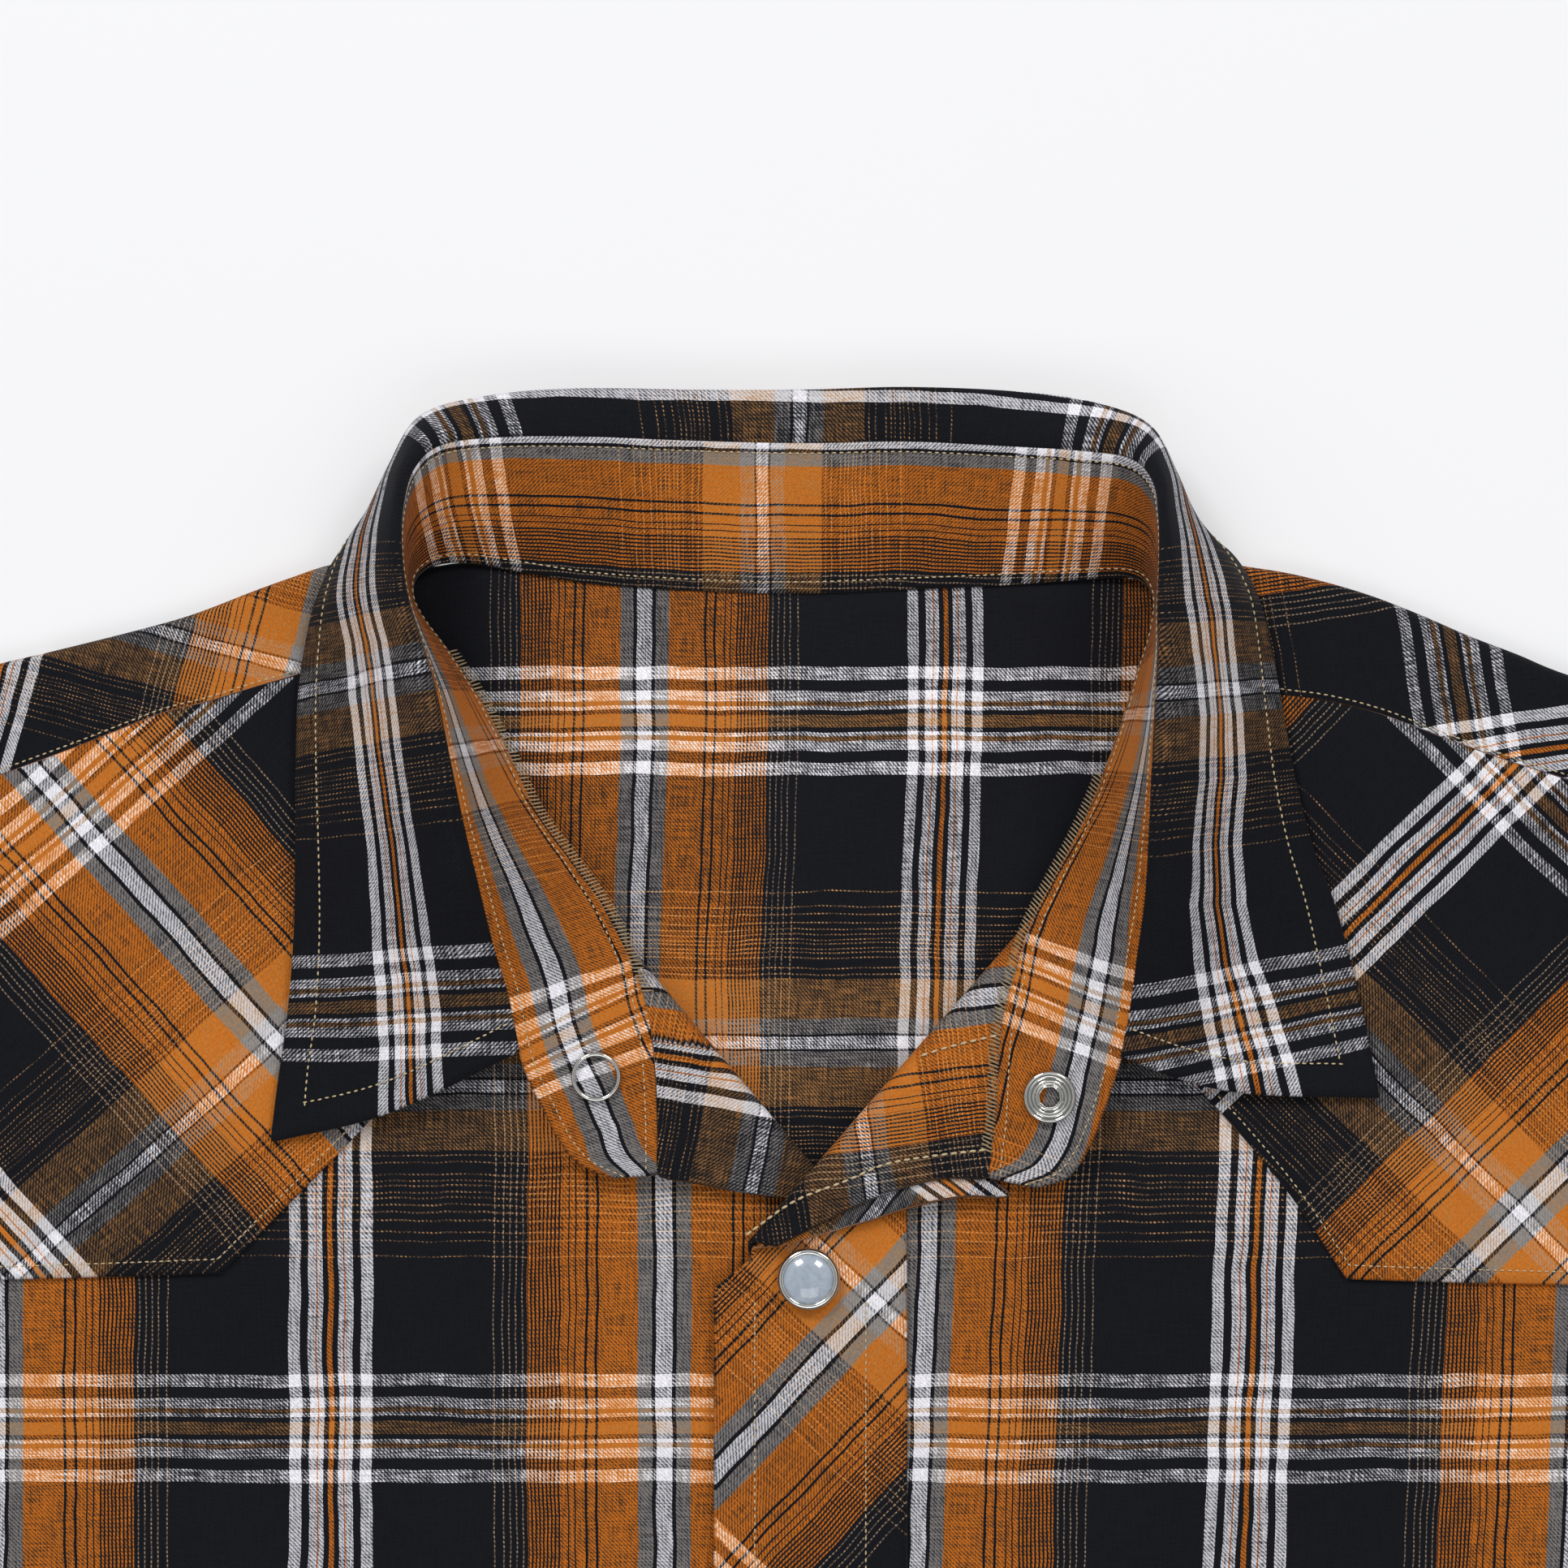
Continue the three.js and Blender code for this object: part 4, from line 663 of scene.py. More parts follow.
leaf_across = 1 - 0.06 * ease((away_from_back - 8) / 6)
LEAF_STRETCH = ((0, 0.34), (4, 0.34), (6, 0.22), (8, 0.15), (10, 0), (22, 0), (24, 0.22), (27, 0.3),
                (30, 0.28),
                (31, 0.12), (32, 0.05))
off_centre = leaf_run - lookup(LEAF_CENTRE, leaf_places)[:, None]
stretch = 1 + lookup(LEAF_STRETCH, leaf_places)[:, None] * np.exp(-(off_centre / 12) ** 2)
leaf_w = WARP_TURN + off_centre * leaf_across[:, None] * stretch
roll_f = weft_along(leaf_points[:, 24], leaf_places, LEAF_MIDDLE - 15.3, LEAF_MIDDLE, LEAF_MIDDLE + 14.9)
edge_f = weft_along(leaf_points[:, -1], leaf_places, LEAF_MIDDLE - 13.9, LEAF_MIDDLE, LEAF_MIDDLE + 14.9)
outward = np.clip((leaf_shares - 0.4) / 0.6, 0, 1)[None, :]
leaf_f = roll_f[:, None] * (1 - outward) + edge_f[:, None] * outward
# Towards the points the weft bands lie along slanting straight lines, one for the middle of the first group
# and one for the next white line
leaf_x, leaf_y = leaf_points[..., 0], leaf_points[..., 1]
first_band = np.where(leaf_x < 0, -85.5 + 0.064 * (leaf_x + 105.2), -92 + 0.2 * (leaf_x - 68))
next_line = np.where(leaf_x < 0, -20.8 + 0.2 * (leaf_x + 102.8), -20.8 + 0.073 * (leaf_x - 72.7))
straight_f = WEFT_TURN * (leaf_y - first_band) / (next_line - first_band)
straight_f = np.where(leaf_x > 0, 2 * WEFT_THREE_TURNS - straight_f, straight_f)
bent = ease((leaf_y + 8) / 26)
leaf_f = straight_f * (1 - bent) + leaf_f * bent
front_gaps = [np.linalg.norm(leaf_points - end, axis=2) for end in (leaf_points[:1], leaf_points[-1:])]
from_edge = np.minimum(leaf_run[:, -1:] - leaf_run, np.minimum(*front_gaps))
pinch = np.exp(-((from_edge - LEAF_STITCH) / 1.3) ** 2)
leaf_thick = LEAF_THICK - 0.3 * pinch - 0.25 * np.exp(-(from_edge / 1.0) ** 2)
leaf = Cloth().grid(leaf_points, np.stack([leaf_w, leaf_f], -1), thick=leaf_thick)

# %% [markdown]
# ## The folded corners of the fronts
# The top corners of an open shirt fall back as lapels. Each row of the table leaves the fold line, bends
# round in a half circle and lies back flat. To keep the plaid true, every point also gets the place where
# it would lie if the corner were unfolded again.

# %% Lapel grids
BEND_STEPS = np.linspace(0, math.pi, 13)
LAPEL_FLAT_STEPS = np.linspace(0, 1, 31)[1:]


def lapel_table(spec):
    """The folded corner's rows as leave, reach, inset, height and bend, with collar sections filled in."""
    along = unit(np.subtract(spec["end"], spec["start"]))
    side = -1 if spec["start"][0] < 0 else 1
    out = np.array((-along[1], along[0])) * -side
    table = []
    collar = COLLAR_RIGHT if side < 0 else COLLAR_LEFT
    for leave, second, inset, height, bend in spec["rows"]:
        if inset is None:
            seam, top = (np.array(p[:2], float) for p in collar[second][:2])
            place = seam + unit(seam - top) * SEAM - spec["start"]
            inset, height = -place @ out, collar[second][0][2]
            second = place @ along
        table.append((leave, second, inset, height, bend))
    return along, out, table


def lapel_grid(spec, height, radius_change=0.0, first=0, fine=6, longer=None):
    """Points of the folded corner, and the same points unfolded."""
    along, out, table = lapel_table(spec)
    places = np.linspace(first, len(table) - 1, (len(table) - 1 - first) * fine + 1)
    leave, reach, inset, end_height, outer_bend = through(table, places).T[:, :, None]
    bend = outer_bend + radius_change
    base = np.array(spec["start"]) + along * leave[..., None] - out * outer_bend[..., None]
    z0 = height(base[..., 0], base[..., 1])
    flat = np.maximum(0.3, inset - outer_bend)
    if longer:
        flat = flat + lookup(longer, places)[:, None]
    total = math.pi * bend + flat
    drop = end_height + radius_change - (z0 + 2 * bend)
    angle, share = BEND_STEPS[None, :], LAPEL_FLAT_STEPS[None, :]
    run = np.concatenate([bend * angle, math.pi * bend + flat * share], 1)
    offset = np.concatenate([bend * np.sin(angle), -flat * share], 1)
    z = np.concatenate([z0 + bend * (1 - np.cos(angle)), z0 + 2 * bend + drop * ease(share)], 1)
    shift = (reach - leave) * run / total
    folded = base + along * shift[..., None] + out * offset[..., None]
    unfolded = base + along * shift[..., None] + out * run[..., None]
    return np.concatenate([folded, z[..., None]], -1), unfolded, places


right_lapel, right_unfolded, right_lapel_places = lapel_grid(LAPEL_RIGHT, front_height)
left_lapel, left_unfolded, left_lapel_places = lapel_grid(LAPEL_LEFT, left_height)
print("lapel rows:", len(right_lapel), len(left_lapel))

# %% [markdown]
# ## The two fronts
# Each front is one panel from the side seam to its front edge. Its rows fan out from the shoulder seam to
# straight lines lower down, so the rows always end where the neck, the folded corner or the front edge is.
# Close rows lie where creases show, and wider ones towards the hem.

# %% Front panels
EDGE_BAND = 38.0
ROW_HEIGHTS = (-152, -172, -198, -226, -255, -285, -320, -360, -400, -440, -480, -520, -560, -600, -640,
               -675, -712,
               HEM_CENTRE_Y)


def side_seam_y(y):
    """Where a row of the body meets the side seam, which ends higher than the middle of the hem."""
    return HEM_SIDE_Y + (y - HEM_CENTRE_Y) * (UNDERARM_Y - HEM_SIDE_Y) / (UNDERARM_Y - HEM_CENTRE_Y)


def front_grid(side, lapel, lapel_places, seam_table, front_edge, height):
    collar = COLLAR_RIGHT if side < 0 else COLLAR_LEFT
    seam_table = np.array(seam_table, float)
    starts = lapel[:, 0, :2]
    neck = [seam_table[0]]
    for row in collar[8:13]:
        if starts[0, 1] + 6 < row[0][1] < seam_table[0, 1] - 3:
            neck.append(np.array((row[0][0] + side * SEAM, row[0][1])))
    fixed = len(neck) + int(lapel_places[-1]) + 1
    neck_k = np.arange(0, len(neck) - 1 + 0.01, 0.2)
    bridge = np.linspace(0, 1, 5)[1:-1]
    lapel_k = len(neck) + lapel_places
    stops = [min(-138, starts[-1, 1] - 9)] + [y for y in ROW_HEIGHTS if y < starts[-1, 1] - 4]
    edge_line, edge_k = [], []
    for number, (a, b) in enumerate(zip([starts[-1, 1]] + stops[:-1], stops)):
        count = max(2, int((a - b) / (3 if b > -215 else 9)))
        for step in range(1, count + 1):
            share = step / count
            x = starts[-1, 0] + (front_edge - starts[-1, 0]) * share if number == 0 else front_edge
            edge_line.append((x, a + (b - a) * share))
            edge_k.append(fixed - 1 + number + share)
    inner = np.vstack([through(neck, neck_k), neck[-1] + (starts[0] - neck[-1]) * bridge[:, None], starts,
                       edge_line])
    k = np.concatenate([neck_k, len(neck) - 1 + bridge, lapel_k, edge_k])
    under_k = np.interp(-UNDERARM_Y, -inner[-len(edge_k):, 1], edge_k)
    side_y = side_seam_y(inner[:, 1])
    hole_y = lookup([(round(s * under_k), y) for y, s in ARMHOLE_STOPS], k)
    outer_y = np.where(inner[:, 1] < UNDERARM_Y, side_y, hole_y)
    outer = np.stack([side * lookup(OUTLINE, outer_y), outer_y], -1)
    wide = np.abs(inner[:, 0] - outer[:, 0])[:, None]
    u = np.concatenate([np.linspace(0, 1, 60)[None, :-1] * (1 - EDGE_BAND / wide),
                        1 - np.linspace(EDGE_BAND, 0, 27)[None, :] / wide], 1)
    q = outer[:, None] + (inner - outer)[:, None] * u[..., None]
    top = lookup(seam_table, q[..., 0]) - SEAM / 2
    fan = np.maximum(0, 1 - k / (fixed + 1)) * (1 - 0.3 * np.clip(k, 0, 1))
    chord = ARMHOLE_TOP_Y + (seam_table[0, 1] - ARMHOLE_TOP_Y) * u
    q[..., 1] += (top - chord) * fan[:, None] * (k < fixed)[:, None] * (u < 1 - 1e-9)
    low = ease((-600 - inner[:, 1]) / 145)[:, None]
    curve = (HEM_SIDE_Y - HEM_CENTRE_Y) * np.abs(q[..., 0] / OUTLINE[-1][1]) ** 2.4
    q[..., 1] += (curve - (q[..., 1] - inner[:, 1:2])) * low
    return np.concatenate([q, height(q[..., 0], q[..., 1])[..., None]], -1)


NECK_WEFT = 171.7
WEFT_DRIFT = (4.0, -136, 22)
RIGHT_FACE = (27.8, 0.991)
LEFT_LAPEL_WARP = -31.3


def front_weft(y):
    """The weft count down a front, which runs a little behind near the collar."""
    back, from_y, over = WEFT_DRIFT
    return y + NECK_WEFT - back * ease((y - from_y) / over)


def right_chart(x, y):
    return np.stack([(x + RIGHT_FACE[0]) * RIGHT_FACE[1], front_weft(y)], -1)


def left_chart(x, y):
    return np.stack([(x - (25.7 + 0.037 * (y + 155.7))) * 1.01, front_weft(y)], -1)


right_panel = front_grid(-1, right_lapel, right_lapel_places, SHOULDER_SEAM_RIGHT, FRONT_EDGE_RIGHT,
                         front_height)
left_panel = front_grid(1, left_lapel, left_lapel_places, SHOULDER_SEAM_LEFT, FRONT_EDGE_LEFT, left_height)
RIGHT_FACING = (13.6, 30)
FACING_SHIFT = -0.6
ux, uy = right_unfolded[..., 0], right_unfolded[..., 1]
facing_x = np.where(ux > RIGHT_FACING[0] - RIGHT_FACING[1], 2 * RIGHT_FACING[0] - ux - FACING_SHIFT, ux)
front_right = Cloth()
front_right.grid(right_panel, right_chart(right_panel[..., 0], right_panel[..., 1]), flip=True)
facing_chart = np.stack([right_chart(facing_x, uy)[..., 0], uy + NECK_WEFT], -1)
front_right.grid(right_lapel, right_chart(ux, uy), under=facing_chart, flip=True)
front_left = Cloth()
front_left.grid(left_panel, left_chart(left_panel[..., 0], left_panel[..., 1]))
ux, uy = left_unfolded[..., 0], left_unfolded[..., 1]
front_left.grid(left_lapel, left_chart(ux, uy), under=np.stack([ux + LEFT_LAPEL_WARP, uy + NECK_WEFT], -1))
finish_cloth("cloth_front_right", front_right, PLAID)
finish_cloth("cloth_front_left", front_left, PLAID)

# %% [markdown]
# ## Placket
# The left front's edge carries a placket 38 mm wide, cut on the bias so that its plaid runs as diamonds. It
# lies one layer above the front, and its top turns under the folded corner with the front.

# %% Placket band
def bias_chart(x, y, along, warp_zero, weft_zero, weft_start=0.0):
    """A chart whose warp runs along a given direction. Both zero places are points on the cloth."""
    d = np.array(along)
    across = np.array((d[1], -d[0]))
    w = (x - warp_zero[0]) * across[0] + (y - warp_zero[1]) * across[1]
    f = weft_start + (x - weft_zero[0]) * d[0] + (y - weft_zero[1]) * d[1]
    return np.stack([w, f], -1)


def placket_chart(x, y):
    return bias_chart(x, y, (0.684, 0.729), (19.95, -140.9), (15.7, -145.3), WEFT_TURN)


# Where the outer ply peeps out below the folded corner: the middle of its white stripes, and how much they
# close up there. Then how far it reaches past the corner's edge, by corner row and millimetres
PEEP_CENTRE = (29.7, -120.7)
PEEP_SQUEEZE = 1.6
PEEP_WEFT = 74
PLACKET_PEEP = ((6, 6.0), (7, 5.8), (8, 5.2), (9, 4.6), (10, 2.4), (11, 0.3))
placket_fold, placket_unfolded, placket_places = lapel_grid(LAPEL_LEFT, placket_height, -LAYER,
                                                            PLACKET_FIRST_ROW,
                                                             longer=PLACKET_PEEP)
fold_starts = placket_fold[:, 0, :2]
lower_y = np.concatenate([np.arange(-143, -215, -3.0), np.linspace(-218, HEM_CENTRE_Y + 1, 60)])
outer_line = np.vstack([fold_starts, np.stack([np.full(len(lower_y), PLACKET_OUTER), lower_y], -1)])
share = np.linspace(0, 1, 29)[None, :]
placket_x = PLACKET_INNER + (outer_line[:, :1] - PLACKET_INNER) * share
placket_y = np.broadcast_to(outer_line[:, 1:], placket_x.shape)
placket_points = np.stack([placket_x, placket_y, placket_height(placket_x, placket_y)], -1)
placket = Cloth()
placket.grid(placket_points, placket_chart(placket_x, placket_y))
peep = placket_fold[..., :2] - PEEP_CENTRE
placket.grid(placket_fold, placket_chart(placket_unfolded[..., 0], placket_unfolded[..., 1]),
             under=np.stack([WARP_TURN + PEEP_SQUEEZE * (peep @ (0.6, 0.8)),
                             PEEP_WEFT + peep @ (0.8, -0.6)], -1))
finish_cloth("cloth_placket", placket, PLAID, cut=(40, 660))

# %% [markdown]
# ## Front yokes
# Western yokes are separate pieces, sewn over the fronts, with a slanting lower edge. Each is cut on the
# bias, so its stripes run steeply across the shoulder. The rows run from the shoulder seam to the lower
# edge, and their ends are pulled to the neck seam on one side and the armhole on the other.

# %% Yoke grids
YOKE_CORNER = 5


def front_yoke_grid(side, seam_table, edge_table):
    collar = COLLAR_RIGHT if side < 0 else COLLAR_LEFT
    s = np.linspace(0, 1, 73)
    v = np.linspace(0, 1, 41)[:, None]
    top = through(seam_table, s * (len(seam_table) - 1))
    t = s * (len(edge_table) - 1)
    slanting = through(edge_table[:YOKE_CORNER + 1], t)
    level = through(edge_table[YOKE_CORNER:], t - YOKE_CORNER)
    low = np.where((t <= YOKE_CORNER)[:, None], slanting, level)
    q = top[None] + (low - top)[None] * v[..., None]
    neck_x = lookup([(row[0][1], row[0][0]) for row in collar[7:14]], q[:, :1, 1]) + side * 2 * SEAM
    pull = (neck_x - q[:, :1, 0]) * (1 - s) ** 3
    push = (side * lookup(OUTLINE, q[:, -1:, 1]) - q[:, -1:, 0]) * s ** 3
    q[..., 0] += pull + push
    q[0, :, 1] -= SEAM / 2
    return np.concatenate([q, front_height(q[..., 0], q[..., 1])[..., None] + LAYER], -1)


yoke_right = front_yoke_grid(-1, SHOULDER_SEAM_RIGHT, YOKE_EDGE_RIGHT)
yoke_left = front_yoke_grid(1, SHOULDER_SEAM_LEFT, YOKE_EDGE_LEFT)
d, n = np.array((0.665, -0.747)), np.array((0.747, 0.665))
right_yoke_chart = np.stack([(yoke_right[..., :2] - (-130.2, -66.7)) @ n,
                             (yoke_right[..., :2] - (-149.5, -43.8)) @ d * 1.036], -1)
d, n = np.array((0.711, 0.703)), np.array((0.703, -0.711))
left_yoke_chart = np.stack([68 + 1.027 * ((yoke_left[..., :2] - (112.05, -70.1)) @ n),
                            1.05 * ((yoke_left[..., :2] - (147.1, -37.0)) @ d)], -1)
finish_cloth("cloth_yoke_front_right", Cloth().grid(yoke_right, right_yoke_chart), PLAID,
             cut=(200, 125))
finish_cloth("cloth_yoke_front_left", Cloth().grid(yoke_left, left_yoke_chart, flip=True), PLAID,
             cut=(195, 125))
finish_cloth("cloth_collar_leaf", leaf, PLAID)

# %% [markdown]
# ## Back yoke
# The back yoke is two layers sewn as one piece. It lies flat behind the neck, bends over each shoulder and
# ends at the seam in front. What shows inside the neck is its straight-cut lining, and what shows on the
# shoulders is the outer layer, cut on the bias. So the two faces of this shell have different charts.

# %% Back yoke
def fold_axis(table, s):
    """The shoulder's fold line moved in by the fold's own radius, and the direction out of it."""
    table = np.array(table, float)
    t = s * (len(table) - 1)
    point = through(table, t)
    along = unit(through(table, t + 0.2) - through(table, t - 0.2))
    out = np.stack([-along[:, 1], along[:, 0]], -1) * np.sign(along[:, :1])
    return point - out * (SHOULDER_ROUND + CLOTH / 2), out


def lining_chart(x, y):
    drift = np.interp(y, (-75, -30), (1.8, 0))
    return np.stack([(x + 31.9 + drift) * WARP_TURN / 61.9, y + 26.2], -1)


SHOULDER_STEPS = np.linspace(0, 1, 61)
YOKE_CREASES = (((50, -4), (45, -74), 3.5, 0.8), ((-34, -2), (-20, -62), 8, 0.5),
                ((6, -6), (22, -80), 9, 0.45),
                ((-52, -8), (-38, -50), 5, 0.4))
NECK_RIGHT = ((-75, 5.2), (-68, 5.9), (-57, 4.2), (-42, 1.9), (-22, 0.5))
NECK_LEFT = ((22, 0.7), (40, 1.5), (55, 2.5), (64.5, 3.1), (69.5, 2.7))
right_axis, right_out = fold_axis(SHOULDER_TOP_RIGHT, SHOULDER_STEPS)
left_axis, left_out = fold_axis(SHOULDER_TOP_LEFT, SHOULDER_STEPS)
neck_points = [tuple(right_axis[0]), *NECK_RIGHT, (0, 0), *NECK_LEFT, tuple(left_axis[0])]
neck_line = through(neck_points, np.linspace(0, len(neck_points) - 1, 61))
back_top = np.vstack([right_axis[::-1], neck_line[1:-1], left_axis])
v = np.linspace(0, 1, 31)[:, None]
flat_y = YOKE_SEAM_Y + (back_top[None, :, 1] - YOKE_SEAM_Y) * v
narrow = np.where(np.abs(back_top[:, 0]) > 230,
                  lookup(OUTLINE, flat_y) / lookup(OUTLINE, back_top[:, 1])[None, :], 1)
flat_x = back_top[None, :, 0] * narrow
# The upper face here is the lining inside the neck: it shows more weft, and gets painted light against the
# shade under the collar
back_yoke = Cloth(lining_and_painted_light=0.32)
flat_z = FLOOR_MID + sum(high * ridge(flat_x, flat_y, start, end, wide) for start, end, wide,
                         high in YOKE_CREASES)
back_yoke.grid(np.stack([flat_x, flat_y, flat_z], -1), lining_chart(flat_x, flat_y),
               under=bias_chart(flat_x, flat_y, (-0.705, 0.709), (0, 0), (0, 0)))


def right_strip_chart(p):
    return np.stack([60.5 - 1.106 * ((p - (-157, -15)) @ (0.963, -0.27)),
                     66.2 + 1.15 * ((p - (-116.5, -11.9)) @ (-0.27, -0.963))], -1)


def left_strip_chart(p):
    return np.stack([68 + (p - (146.4, -33.3)) @ (-0.146, 0.989),
                     ((p - (134.5, -15)) @ (0.984, 0.177)) / 0.907], -1)


wrap_grids = []
for side, axis, out, table, strip_chart in ((-1, right_axis, right_out, SHOULDER_SEAM_RIGHT,
                                             right_strip_chart),
                                            (1, left_axis, left_out, SHOULDER_SEAM_LEFT, left_strip_chart)):
    angle = np.linspace(0, math.pi, 11)[None, :, None]
    arc = axis[:, None] + out[:, None] * SHOULDER_ROUND * np.sin(angle)
    arc_z = np.broadcast_to(FLOOR_MID + SHOULDER_ROUND * (1 - np.cos(angle[..., 0])), arc.shape[:2])
    seam = through(table, SHOULDER_STEPS * (len(table) - 1))
    high = FLOOR_MID + 2 * SHOULDER_ROUND
    low = front_height(seam[:, 0], seam[:, 1]) + LAYER
    share = np.linspace(0, 1, 19)[1:][None, :, None]
    strip = axis[:, None] + (seam + (0, SEAM / 2) - axis)[:, None] * share
    strip_z = high + (low[:, None] - high) * share[..., 0]
    points = np.concatenate([np.concatenate([arc, arc_z[..., None]], -1),
                             np.concatenate([strip, strip_z[..., None]], -1)], 1)
    unrolled = np.concatenate([axis[:, None] + out[:, None] * SHOULDER_ROUND * (math.pi - angle), strip], 1)
    back_yoke.grid(points, lining_chart(points[..., 0], points[..., 1]), under=strip_chart(unrolled),
                   flip=side > 0)
    wrap_grids.append(points)
finish_cloth("cloth_back_yoke", back_yoke, PLAID, cut=(490, 235))

# %% [markdown]
# ## Back panel
# The back is one flat piece from the yoke seam to a curved hem. It lies on the surface, so only its
# underside and its edges would ever be seen.

# %% Back
inner_y = np.concatenate([np.linspace(YOKE_SEAM_Y - SEAM, UNDERARM_Y, 30),
                          np.linspace(UNDERARM_Y, HEM_CENTRE_Y, 61)[1:]])
side_y = np.where(inner_y > UNDERARM_Y, inner_y, side_seam_y(inner_y))
u = np.linspace(-1, 1, 81)
back_x = lookup(OUTLINE, side_y)[:, None] * u
back_y = inner_y[:, None] + (side_y - inner_y)[:, None] * np.abs(u) ** 2.4
back_points = np.stack([back_x, back_y, np.full(back_x.shape, FLOOR_MID)], -1)
finish_cloth("cloth_back", Cloth().grid(back_points, np.stack([back_x, back_y + 40], -1), flip=True), PLAID)

# %% [markdown]
# ## Sleeves
# A sleeve laid flat is a tube pressed nearly shut, with soft air between its layers. Each station of the
# table gives its outer fold, its inner fold, how much of the armhole's curve is left, and how high the air
# lifts it. The outer fold lies in the middle of the white stripe, where the plaid mirrors itself, so one
# chart serves both layers.

# %% Sleeve table and rings
SLEEVE = ((236.6, -40.6, 284.8, -255.6, 1, 1.6), (251, -46, 300, -266, 0.86, 2.6),
          (268, -51.5, 318, -279, 0.62, 3.6),
          (300, -63, 347, -300, 0.35, 4.2), (335, -80, 376, -321, 0.16, 4.4),
          (372, -105, 405, -341.5, 0.05, 4.4),
          (410, -138, 434, -362.5, 0, 4.6), (450, -174, 463, -383, 0, 4.6), (492, -212, 493, -404.5, 0, 4.2),
          (536, -252, 523, -426, 0, 3.8), (582, -293.5, 553, -447.5, 0, 3.6),
          (628, -335, 582, -468.5, 0, 3.0),
          (666, -369, 600, -481.5, 0, 2.2), (694, -394.5, 611.5, -488.5, 0, 1.2))
SLEEVE_WRINKLES = ((0.1, 0.35, 26, 1.3), (0.22, 0.6, 20, 0.9), (0.36, 0.3, 34, -0.9), (0.5, 0.62, 28, 1.1),
                   (0.63, 0.4, 22, 0.9), (0.76, 0.66, 30, -0.8), (0.86, 0.35, 24, 0.8))


def sleeve_grid(side):
    table = through(SLEEVE, np.linspace(0, len(SLEEVE) - 1, 118))
    outer, inner, curve, loft = table[:, None, :2], table[:, None, 2:4], table[:, None, 4:5], table[:, None,
                                                                                                    5]
    width = np.linalg.norm(inner - outer, axis=-1)
    across = unit(inner - outer)
    r = SLEEVE_ROUND
    angle = np.linspace(0, math.pi, 7)[None, :]
    lie = np.linspace(0, 1, 34)[None, 1:-1]
    first_x, last_x = r - r * np.sin(angle) + 0 * width, width - r + r * np.sin(angle)
    middle_x = r + (width - 2 * r) * lie
    run = np.arange(len(table))[:, None] / (len(table) - 1)
    air = loft * np.sin(math.pi * lie) ** 0.8
    for place, at, wide, high in SLEEVE_WRINKLES:
        slant = (run - place) * 600 + (lie - at) * 60 * np.sign(high)
        air = air + high * np.exp(-(slant / wide) ** 2) * np.exp(-((lie - at) / 0.3) ** 2)
    x = np.concatenate([first_x, middle_x, last_x, middle_x[:, ::-1]], 1)
    floor = np.full(middle_x.shape, FLOOR_MID)
    z = np.concatenate([FLOOR_MID + r - r * np.cos(angle) + 0 * width, floor + 2 * r + np.maximum(air, 0),
                        FLOOR_MID + r + r * np.cos(angle) + 0 * width, floor], 1)
    x, z = (np.concatenate([values, values[:, :1]], 1) for values in (x, z))
    t = (x / width)[..., None]
    hole_y = -40.6 + (-255.6 + 40.6) * t
    hole = np.concatenate([lookup(OUTLINE, hole_y) + 0.6, hole_y], -1)
    chord = np.array(SLEEVE[0][:2]) + (np.array(SLEEVE[0][2:4]) - SLEEVE[0][:2]) * t
    plan = outer + across * x[..., None] + (hole - chord) * curve
    along = run_along(table[:, :2] / 2 + table[:, 2:4] / 2)[:, None]
    chart = np.stack(np.broadcast_arrays(x, along), -1)
    return np.concatenate([plan[..., :1] * side, plan[..., 1:], z[..., None]], -1), chart


sleeve_points = {}
for name, side in (("cloth_sleeve_right", -1), ("cloth_sleeve_left", 1)):
    sleeve_points[side], chart = sleeve_grid(side)
    finish_cloth(name, Cloth().grid(sleeve_points[side], chart, flip=side > 0), PLAID,
                 cut=(480, 620))

# %% [markdown]
# ## Cuffs
# A cuff is a stiff band that goes round and laps over itself, closed by one snap. It is drawn as one path
# seen from its end, carried along the cuff's length.

# %% Cuffs
CUFF_PATH = ((34, 3.95), (27, 3.95), (14, 3.95), (5, 3.95), (1.7, 3.95), (0.5, 3.45), (0, 2.25), (0.5, 1.05),
             (1.7, 0.55), (20, 0.55), (45, 0.55), (70, 0.55), (95, 0.55), (110.3, 0.55), (111.5, 1.05),
             (112, 2.25),
             (111.5, 3.45), (110.3, 3.95), (96, 4.3), (78, 4.6), (60, 4.6), (48, 4.7), (42, 5.0), (37, 5.4),
             (30, 5.45), (20, 5.45), (9, 5.45))
WRIST_OUTER, WRIST_INNER = np.array(SLEEVE[-1][:2]), np.array(SLEEVE[-1][2:4])
CUFF_ACROSS = unit(WRIST_INNER - WRIST_OUTER)
CUFF_DOWN = np.array((-CUFF_ACROSS[1], CUFF_ACROSS[0]))
CUFF_INSET = (np.linalg.norm(WRIST_INNER - WRIST_OUTER) - CUFF_WIDTH) / 2


def cuff_point(side, x, down, z):
    x, down, z = np.broadcast_arrays(np.asarray(x, float), down, z)
    p = WRIST_OUTER + CUFF_ACROSS * (x[..., None] + CUFF_INSET) + CUFF_DOWN * (down[..., None] + SEAM)
    return np.concatenate([p[..., :1] * side, p[..., 1:], z[..., None]], -1)


